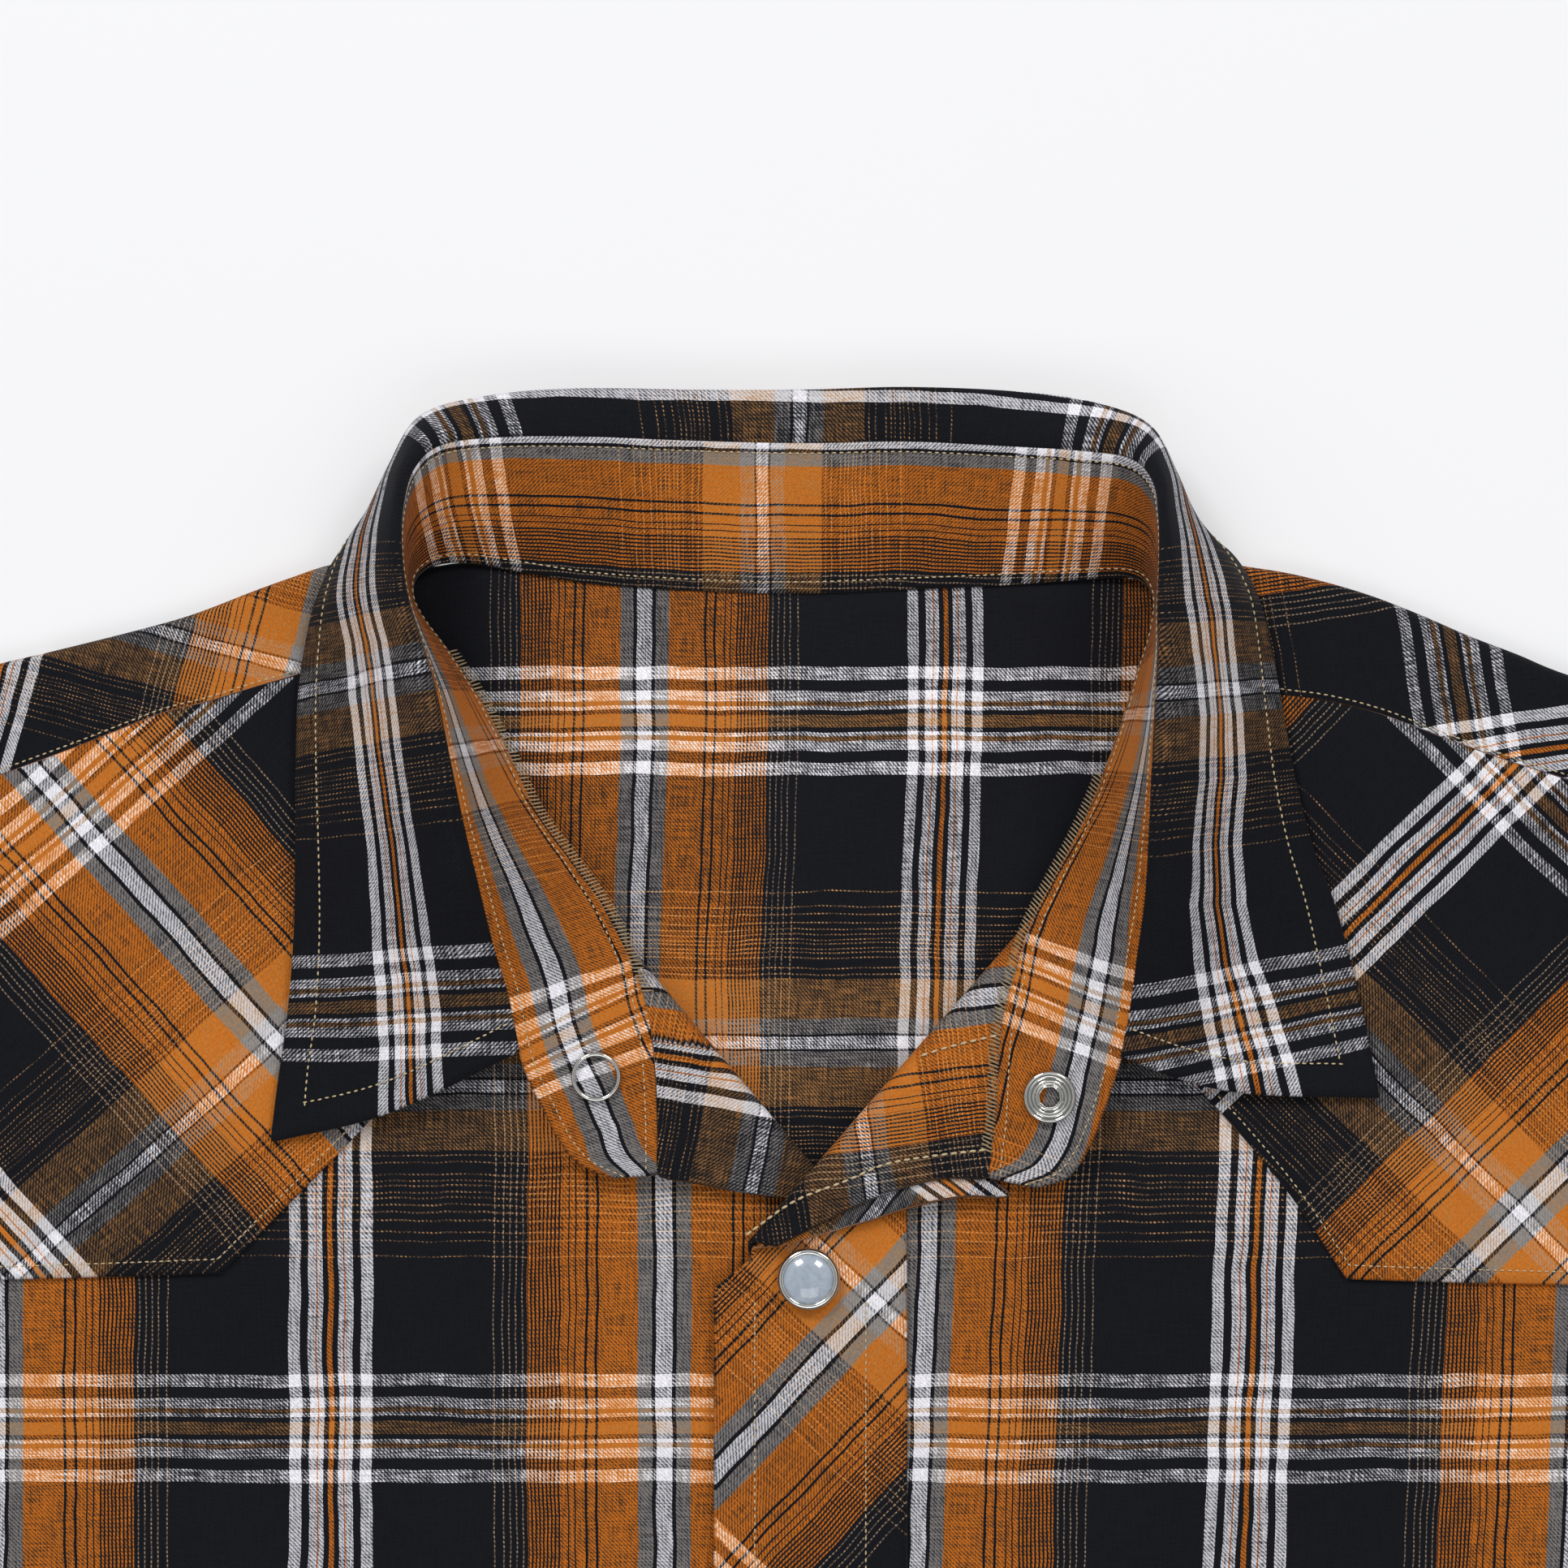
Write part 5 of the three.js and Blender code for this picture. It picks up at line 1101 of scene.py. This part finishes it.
path = np.array(CUFF_PATH, float)
path_places = np.linspace(0, len(path) - 1, 4 * (len(path) - 1) + 1)
path_x, path_z = (np.interp(path_places, np.arange(len(path)), path[:, k]) for k in range(2))
path_run = run_along(np.stack([path_x, path_z], -1))
cuff_rows = np.linspace(0, 1, 21)[:, None]
cuff_points = {}
for name, side in (("cloth_cuff_right", -1), ("cloth_cuff_left", 1)):
    cuff_points[side] = cuff_point(side, path_x[None, :], cuff_rows * CUFF_LENGTH, path_z[None, :])
    chart = np.stack(np.broadcast_arrays(path_run[None, :], cuff_rows * CUFF_LENGTH), -1)
    finish_cloth(name, Cloth().grid(cuff_points[side], chart, flip=side > 0), PLAID)

# %% [markdown]
# ## Pearl snaps
# A western snap is a drop of pearly resin held in a chrome-plated brass rim. On the stand two halves are
# open: a plain wire ring on one side, and on the other the socket, with turned ridges and a small hole.
# Each is a profile turned round its axis, in 96 steps so that the bright rim stays round.

# %% Finishes of the snaps
def mottled(name, low, high, scale, rough, **shader_values):
    """A hard, glossy finish with a slow drift between two shades and a slightly uneven gloss."""
    material, tree = fresh_material(name)
    place = add_node(tree, "ShaderNodeTexCoord").node.outputs["Object"]
    cloud = add_node(tree, "ShaderNodeTexNoise", Vector=place, Scale=scale, Detail=5.0, Distortion=1.6)
    tint = add_node(tree, "ShaderNodeMix", settings=MIX, i0=cloud, i6=linear(low), i7=linear(high)).node
    gloss = add_node(tree, "ShaderNodeMapRange", cloud, 0.3, 0.7, *rough)
    fine = add_node(tree, "ShaderNodeTexNoise", Vector=place, Scale=scale * 9, Detail=2.0)
    bump = add_node(tree, "ShaderNodeBump", Strength=0.03, Distance=0.00003, Height=fine)
    shader = add_node(tree, "ShaderNodeBsdfPrincipled", Base_Color=tint.outputs[2], Roughness=gloss,
                      Normal=bump,
                      **shader_values)
    add_node(tree, "ShaderNodeOutputMaterial", Surface=shader)
    return material


PEARL = mottled("pearl resin", "#7E8C9E", "#BAC3CC", 300.0, (0.1, 0.2), Coat_Weight=1.0, Coat_Roughness=0.03)
CHROME = mottled("chrome-plated brass", "#B4B3AE", "#E6E5E0", 300.0, (0.05, 0.12), Metallic=1.0)

# %% Turned parts
SEGMENTS = 96
CAP_DOME = ((0, 0.6), (5.1, 0.6), (5.15, 1.4), (4.95, 1.68), (4.6, 1.9), (4.1, 2.14), (3.5, 2.38),
            (2.8, 2.6), (2.0, 2.76),
            (1.0, 2.87), (0, 2.9))
CAP_RIM = ((5.0, 0.3), (5.9, 0.2), (6.3, 0.5), (6.4, 1.0), (6.3, 1.4), (6.0, 1.75), (5.6, 1.92), (5.25, 1.85),
           (5.05, 1.6), (5.0, 1.2))
STUD_PROFILE = ((0, 0), (5.0, 0), (5.0, 0.7), (2.2, 0.9), (2.0, 2.0), (1.7, 2.6), (0, 2.8))
SOCKET_PROFILE = ((2.0, 0.2), (4.9, 0), (5.3, 0.3), (5.4, 0.75), (5.25, 1.2), (4.95, 1.4), (4.65, 1.25),
                  (4.4, 0.8),
                  (4.1, 0.62), (3.85, 0.8), (3.6, 1.35), (3.35, 1.5), (3.1, 1.3), (2.85, 0.8), (2.6, 0.65),
                  (2.35, 0.9),
                  (2.15, 1.15), (2.0, 1.05))
RING_MAJOR = 4.65
RING_WIRE = 0.48
RING_PROFILE = [(RING_MAJOR - RING_WIRE * math.cos(a), RING_WIRE + RING_WIRE * math.sin(a))
                for a in np.linspace(0, -2 * math.pi, 17)[:-1]]


def turned(name, profile, centre, up, material, node=None, hole_sides=None):
    """Turns a profile of radius and height round an axis. A hole with flat sides is cut at its inner edge."""
    up = unit(up)
    side = unit(np.cross(up, (0.3, 1, 0.1)))
    third = np.cross(up, side)
    points, rings = [], []
    for r, h in profile:
        ring = []
        for k in range(SEGMENTS if r > 1e-6 else 1):
            a = 2 * math.pi * k / SEGMENTS
            radius = r
            if hole_sides and r <= 2.2:
                radius = r / math.cos((a % (2 * math.pi / hole_sides)) - math.pi / hole_sides)
            ring.append(len(points))
            points.append(centre + side * radius * math.cos(a) + third * radius * math.sin(a) + up * h)
        rings.append(ring)
    faces = []
    pairs = list(zip(rings, rings[1:])) + ([(rings[-1], rings[0])] if profile[0][0] > 1e-6 else [])
    for low, high in pairs:
        for k in range(SEGMENTS):
            m = (k + 1) % SEGMENTS
            face = (low[k % len(low)], low[m % len(low)], high[m % len(high)], high[k % len(high)])
            faces.append(list(dict.fromkeys(face)))
    points = np.array(points)
    points[:, 1] += NECK_Y
    mesh = bpy.data.meshes.new(name)
    mesh.from_pydata((points * MM).tolist(), [], faces)
    mesh.shade_smooth()
    mesh.materials.append(material)
    piece = bpy.data.objects.new(name, mesh)
    bpy.context.scene.collection.objects.link(piece)
    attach(piece, "root")
    if node:
        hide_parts(node)
    return piece


def cap(name, node, centre, up):
    turned(name + "_dome", CAP_DOME, centre, up, PEARL, node)
    turned(name + "_rim", CAP_RIM, centre, up, CHROME)


for k in range(SNAP_COUNT):
    y = SNAP_FIRST_Y - k * SNAP_SPACING
    around = np.array(((0, 0), (6, 0), (-6, 0), (0, 6), (0, -6)), float) + (CENTRE_X, y)
    z = left_height(around[:, 0], around[:, 1]).max() + LAYER + CLOTH / 2 + SEAM
    cap(f"snap_front_{k + 1}", f"snap_cap_{k + 1}", np.array((CENTRE_X, y, z)), (0, 0, 1))
for name, side in (("right", -1), ("left", 1)):
    cap(f"cuff_snap_{name}", f"snap_cuff_{name}",
        cuff_point(side, 20, CUFF_LENGTH / 2, 5.45 + CLOTH / 2 + SEAM),
        (0, 0, 1))


def stand_spot(x, y):
    """The place on the stand above a plan position, and the direction out of the cloth there."""
    away = np.hypot(stand_points[..., 0] - x, stand_points[..., 1] - y)
    i, j = np.unravel_index(away.argmin(), away.shape)
    i, j = min(max(i, 3), len(stand_points) - 4), min(max(j, 5), 23)
    up = unit(np.cross(stand_points[i + 3, j] - stand_points[i - 3, j],
                       stand_points[i, j + 1] - stand_points[i, j - 5]))
    return stand_points[i, j], up * np.sign(up[2])


SNAP_LIFT = CLOTH / 2 + SEAM + 0.1
ring_place, ring_up = stand_spot(-41.75, -98.8)
socket_place, socket_up = stand_spot(50.75, -103.2)
turned("snap_ring", RING_PROFILE, ring_place + ring_up * SNAP_LIFT, ring_up, CHROME,
       "snap_stand_ring")
turned("snap_socket", SOCKET_PROFILE, socket_place + socket_up * SNAP_LIFT, socket_up, CHROME,
       "snap_stand_socket", hole_sides=8)
turned("snap_stud", STUD_PROFILE, ring_place - ring_up * SNAP_LIFT, -ring_up, CHROME,
       "snap_stand_stud")
cap("snap_under_collar", "snap_stand_cap", socket_place - socket_up * SNAP_LIFT, -socket_up)
print("snap parts made:", 2 * (SNAP_COUNT + 3) + 3)

# %% [markdown]
# ## Stitches
# Topstitching is a row of small thread bumps with gaps where the needle goes down. Geometry Nodes lay them:
# each row is a thin line on the cloth, resampled at the stitch length, with one low-poly thread instanced
# on each point and turned along the line. A slant makes the zigzag of an overlocked edge. The result is
# realized and joined into one plain mesh.

# %% The stitch tree
def build_stitch_tree():
    tree = bpy.data.node_groups.new("stitch row", "GeometryNodeTree")
    sockets = {}
    for name, kind, value in (("Geometry", "NodeSocketGeometry", None), ("Pitch", "NodeSocketFloat", 0.0015),
                              ("Length", "NodeSocketFloat", 0.00095),
                              ("Thickness", "NodeSocketFloat", 0.00036),
                              ("Slant", "NodeSocketFloat", 0.0), ("Thread", "NodeSocketMaterial", None)):
        item = tree.interface.new_socket(name, in_out="INPUT", socket_type=kind)
        if value is not None:
            item.default_value = value
        sockets[name] = item.identifier
    tree.interface.new_socket("Geometry", in_out="OUTPUT", socket_type="NodeSocketGeometry")
    given = add_node(tree, "NodeGroupInput").node.outputs
    curve = add_node(tree, "GeometryNodeMeshToCurve", given["Geometry"])
    spaced = add_node(tree, "GeometryNodeResampleCurve", settings=dict(mode="LENGTH"), Curve=curve,
                      Length=given["Pitch"])
    thread = add_node(tree, "GeometryNodeMeshUVSphere", Segments=6, Rings=4, Radius=0.5)
    size = add_node(tree, "ShaderNodeCombineXYZ", given["Thickness"], given["Thickness"], given["Length"])
    shaped = add_node(tree, "GeometryNodeTransform", Geometry=thread, Scale=size)
    turn = add_node(tree, "FunctionNodeAlignRotationToVector", settings=dict(axis="Z"),
                    Vector=add_node(tree, "GeometryNodeInputTangent"))
    sway = add_node(tree, "FunctionNodeRandomValue", settings=dict(data_type="FLOAT"), i2=-0.09, i3=0.09,
                    Seed=7).node.outputs[1]
    lean = add_node(tree, "ShaderNodeMath ADD", sway, given["Slant"])
    yaw = add_node(tree, "FunctionNodeAxisAngleToRotation", Axis=(0.0, 0.0, 1.0), Angle=lean)
    leaned = add_node(tree, "FunctionNodeRotateRotation", settings=dict(rotation_space="GLOBAL"),
                      Rotation=turn, Rotate_By=yaw)
    placed = add_node(tree, "GeometryNodeInstanceOnPoints", Points=spaced, Instance=shaped, Rotation=leaned)
    real = add_node(tree, "GeometryNodeRealizeInstances", placed)
    done = add_node(tree, "GeometryNodeSetMaterial", Geometry=real, Material=given["Thread"])
    add_node(tree, "NodeGroupOutput", done)
    return tree, sockets


stitch_tree, stitch_sockets = build_stitch_tree()
THREAD = mottled("polyester thread", "#A8906A", "#D8C49A", 900.0, (0.5, 0.65), Sheen_Weight=0.2)
THREAD_DARK = mottled("polyester overlock thread", "#7A6548", "#B09A74", 900.0, (0.55, 0.7), Sheen_Weight=0.2)
print("stitch tree nodes:", len(stitch_tree.nodes))

# %% Rows of stitches
def lay_stitches(name, lines, thread=None, **sizes):
    """Lines of points in millimetres become rows of real thread bumps."""
    points, edges = [], []
    for line in lines:
        first = len(points)
        points += [(x * MM, (y + NECK_Y) * MM, z * MM) for x, y, z in line]
        edges += [(k, k + 1) for k in range(first, len(points) - 1)]
    mesh = bpy.data.meshes.new(name + "_path")
    mesh.from_pydata(points, edges, [])
    rows = bpy.data.objects.new(name + "_path", mesh)
    bpy.context.scene.collection.objects.link(rows)
    modifier = rows.modifiers.new("stitches", "NODES")
    modifier.node_group = stitch_tree
    modifier[stitch_sockets["Thread"]] = thread or THREAD
    for key, value in sizes.items():
        modifier[stitch_sockets[key]] = value
    result = bpy.data.meshes.new_from_object(rows.evaluated_get(bpy.context.evaluated_depsgraph_get()))
    result.shade_smooth()
    rows.modifiers.remove(modifier)
    bpy.data.objects.remove(rows)
    piece = bpy.data.objects.new(name, result)
    bpy.context.scene.collection.objects.link(piece)
    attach(piece, "root")
    print(name, "triangles:", sum(len(face.vertices) - 2 for face in result.polygons))
    return piece


def on_grid(points, rows, columns, lift):
    """Points on a grid at fractional rows and columns, moved out along its normal by lift."""
    rows, columns = np.broadcast_arrays(np.asarray(rows, float), np.asarray(columns, float))
    normals = unit(np.cross(np.gradient(points, axis=1), np.gradient(points, axis=0)) + 1e-9)
    found = []
    for layer in (points, normals):
        i = np.clip(rows.astype(int), 0, points.shape[0] - 2)
        j = np.clip(columns.astype(int), 0, points.shape[1] - 2)
        fi, fj = (rows - i)[:, None], (columns - j)[:, None]
        found.append((layer[i, j] * (1 - fj) + layer[i, j + 1] * fj) * (1 - fi)
                     + (layer[i + 1, j] * (1 - fj) + layer[i + 1, j + 1] * fj) * fi)
    return found[0] + unit(found[1]) * lift


STITCH_LIFT = 0.68
leaf_length = leaf_run[:, -1]
row_numbers = np.arange(len(leaf_places))


def leaf_column(rows, from_outer_edge):
    """The column of the leaf's grid that lies a distance inside the outer edge."""
    columns = [np.interp(leaf_length[int(r)] - from_outer_edge, leaf_run[int(r)],
                         np.arange(61)) for r in rows]
    return np.array(columns)


end_row = LEAF_STITCH / np.linalg.norm(np.diff(leaf_points[:, 40], axis=0), axis=1)[[0, -1]]
leaf_lines = []
edge_rows = row_numbers[int(round(end_row[0])):len(row_numbers) - int(round(end_row[1]))]
leaf_lines.append(on_grid(leaf_points, edge_rows, leaf_column(edge_rows, LEAF_STITCH), -STITCH_LIFT))
for first, step in ((0, 1), (len(row_numbers) - 1, -1)):
    columns = np.linspace(2, leaf_column([first + step * 3], LEAF_STITCH)[0], 60)
    rows = []
    for column in columns:
        line = leaf_points[:, int(column)]
        run = np.concatenate([[0], np.cumsum(np.linalg.norm(np.diff(line[::step], axis=0), axis=1))])
        rows.append(first + step * np.interp(LEAF_STITCH, run, np.arange(len(run))))
    leaf_lines.append(on_grid(leaf_points, rows, columns, -STITCH_LIFT - 0.12))
lay_stitches("stitches_leaf", leaf_lines, Thickness=0.0004)

# %% Stand, yoke and placket stitches
stand_top_inside = [on_grid(stand_points, np.arange(len(stand_places)), 24 - 24 * 2.0 / stand_high[:, 0],
                            lift)
                    for lift in (STITCH_LIFT, -STITCH_LIFT)]
stand_low_inside = [on_grid(stand_points, np.arange(2, len(stand_places) - 2),
                            24 * 2.2 / stand_high[2:-2, 0], lift) for lift in (STITCH_LIFT, -STITCH_LIFT)]
lay_stitches("stitches_stand", stand_top_inside + stand_low_inside)
yoke_lines = []
for grid, flip in ((yoke_right, -1), (yoke_left, -1)):
    yoke_lines.append(on_grid(grid, np.full(73, 40 - 0.9), np.arange(73), flip * STITCH_LIFT))
for points in wrap_grids:
    last = points.shape[1] - 1
    yoke_lines.append(on_grid(points, np.arange(points.shape[0]), np.full(points.shape[0], last - 0.8),
                              STITCH_LIFT))
for line in yoke_lines:
    line[:, 2] = np.maximum(line[:, 2], front_height(line[:, 0], line[:, 1]) + LAYER + STITCH_LIFT - 0.1)
lay_stitches("stitches_yokes", yoke_lines)
placket_lines = []
for x in (-9.2, 13.6):
    y = np.linspace(-146, HEM_CENTRE_Y + 6, 320)
    placket_lines.append(np.stack([np.full(len(y), x), y, placket_height(x, y) + STITCH_LIFT], -1))
lay_stitches("stitches_placket", placket_lines)

# %% [markdown]
# ## Lapel and neck seam stitches
# The left lapel has a heavy row along its edge and a short one across it. The neck seam inside is
# overlocked, which leaves long thread loops that lean across the seam.

# %% Stitches of the folded corners and the neck seam
NO_CLOTH_HEIGHT = 8.0
REACH = 1.6
LOOP_RUNS = ((5, 12, 1.1), (MIDDLE + 11, MIDDLE + 20, -1.1))
LAPEL_EDGE = ((-10.4, -131.2), (-1.0, -124.5), (9.8, -120.2), (17.6, -117), (27.2, -115.4), (37.4, -114.2))
LAPEL_TACK = ((25.6, -94.6), (30, -93.2), (35, -91.9), (39.6, -90.8))


def over_cloth(grid, line, lift):
    """A line in plan, laid on the highest cloth of a grid that lies under it."""
    line = through(line, np.linspace(0, len(line) - 1, 60))
    found = []
    for x, y in line:
        near = np.hypot(grid[..., 0] - x, grid[..., 1] - y) < REACH
        found.append((x, y, (grid[..., 2][near].max() if near.any() else NO_CLOTH_HEIGHT) + lift))
    return np.array(found)


lapel_lines = [over_cloth(left_lapel, line, STITCH_LIFT + 0.05) for line in (LAPEL_EDGE, LAPEL_TACK)]
lay_stitches("stitches_lapel", lapel_lines, Pitch=0.0019, Length=0.0015, Thickness=0.0006)
loop_lines = []
for first, last, shift in LOOP_RUNS:
    line = through([row[0] for row in collar_rows], np.linspace(first, last, 90))
    line[:, 0] += shift
    line[:, 2] += STITCH_LIFT + 0.1
    loop_lines.append(line)
lay_stitches("stitches_overlock", loop_lines, THREAD_DARK, Pitch=0.00083, Length=0.0029, Thickness=0.0004,
             Slant=1.25)

# %% [markdown]
# ## Floor, light and camera
# The shirt lies on a plain white surface. Big soft lamps on both sides and a pale world give the even light
# of a product photograph. The camera looks straight down on the neck from 1.6 m, and its lens is chosen so
# that the frame is 322 mm wide where the cloth lies.

# %% Stage
FLOOR_Z = -0.2
floor_mesh = bpy.data.meshes.new("floor")
floor_mesh.from_pydata([(x, y, FLOOR_Z * MM) for x, y in ((-3, -3), (3, -3), (3, 3), (-3, 3))], [],
                       [(0, 1, 2, 3)])
floor = bpy.data.objects.new("floor", floor_mesh)
bpy.context.scene.collection.objects.link(floor)
matt, tree = fresh_material("matt white board")
grain = add_node(tree, "ShaderNodeTexNoise",
                 Vector=add_node(tree, "ShaderNodeTexCoord").node.outputs["Object"],
                 Scale=700.0, Detail=3.0)
board_bump = add_node(tree, "ShaderNodeBump", Strength=0.05, Distance=0.0001, Height=grain)
board = add_node(tree, "ShaderNodeBsdfPrincipled", Base_Color=linear("#B4B4B6"), Roughness=0.8,
                 Normal=board_bump,
                 Emission_Color=linear("#FFFFFF"), Emission_Strength=0.43)
add_node(tree, "ShaderNodeOutputMaterial", Surface=board)
floor_mesh.materials.append(matt)

scene = bpy.context.scene
scene.view_settings.view_transform = "Standard"
scene.view_settings.look = "None"
# The room is dim at table height, bright above it and a little dimmer overhead
ROOM = ((0, "#202124"), (0.3, "#3A3B3E"), (0.5, "#F4F5F8"), (0.8, "#FFFFFF"), (0.95, "#B9BBC0"))
world = bpy.data.worlds.new("pale room")
scene.world = world
world.use_nodes = True
background = world.node_tree.nodes["Background"]
room = world.node_tree
direction = add_node(room, "ShaderNodeTexCoord")
height_seen = add_node(room, "ShaderNodeSeparateXYZ", direction).node.outputs["Z"]
walls = add_node(room, "ShaderNodeValToRGB", height_seen, steps=ROOM)
walls.node.color_ramp.interpolation = "EASE"
room.links.new(walls, background.inputs["Color"])
background.inputs["Strength"].default_value = 0.7
FRAME_CENTRE = (-0.0032, 0.2608, 0.005)


def soft_lamp(name, place, size, power):
    """A rectangular lamp that looks at the neck."""
    data = bpy.data.lights.new(name, "AREA")
    data.shape = "RECTANGLE"
    data.size, data.size_y = size
    data.energy = power
    lamp = bpy.data.objects.new(name, data)
    lamp.location = place
    aim = Vector(FRAME_CENTRE) - Vector(place)
    lamp.rotation_euler = aim.to_track_quat("-Z", "Y").to_euler()
    scene.collection.objects.link(lamp)
    return lamp


soft_lamp("lamp_upper_left", (-0.8, 1.5, 1.6), (0.6, 0.6), 18)
soft_lamp("lamp_upper_right", (0.9, 1.4, 1.7), (0.6, 0.6), 11)
soft_lamp("lamp_low", (0.1, -1.0, 1.8), (1.4, 1.0), 7)
CAMERA_HEIGHT = 1.6
FRAME_WIDTH = 0.322
camera_data = bpy.data.cameras.new("camera")
camera_data.type = "PERSP"
camera_data.sensor_width = 36
camera_data.lens = 36 * CAMERA_HEIGHT / FRAME_WIDTH
camera_data.dof.use_dof = False
camera = bpy.data.objects.new("camera", camera_data)
camera.location = (FRAME_CENTRE[0], FRAME_CENTRE[1], FRAME_CENTRE[2] + CAMERA_HEIGHT)
scene.collection.objects.link(camera)
scene.camera = camera
print("lens in mm:", round(camera_data.lens, 1))
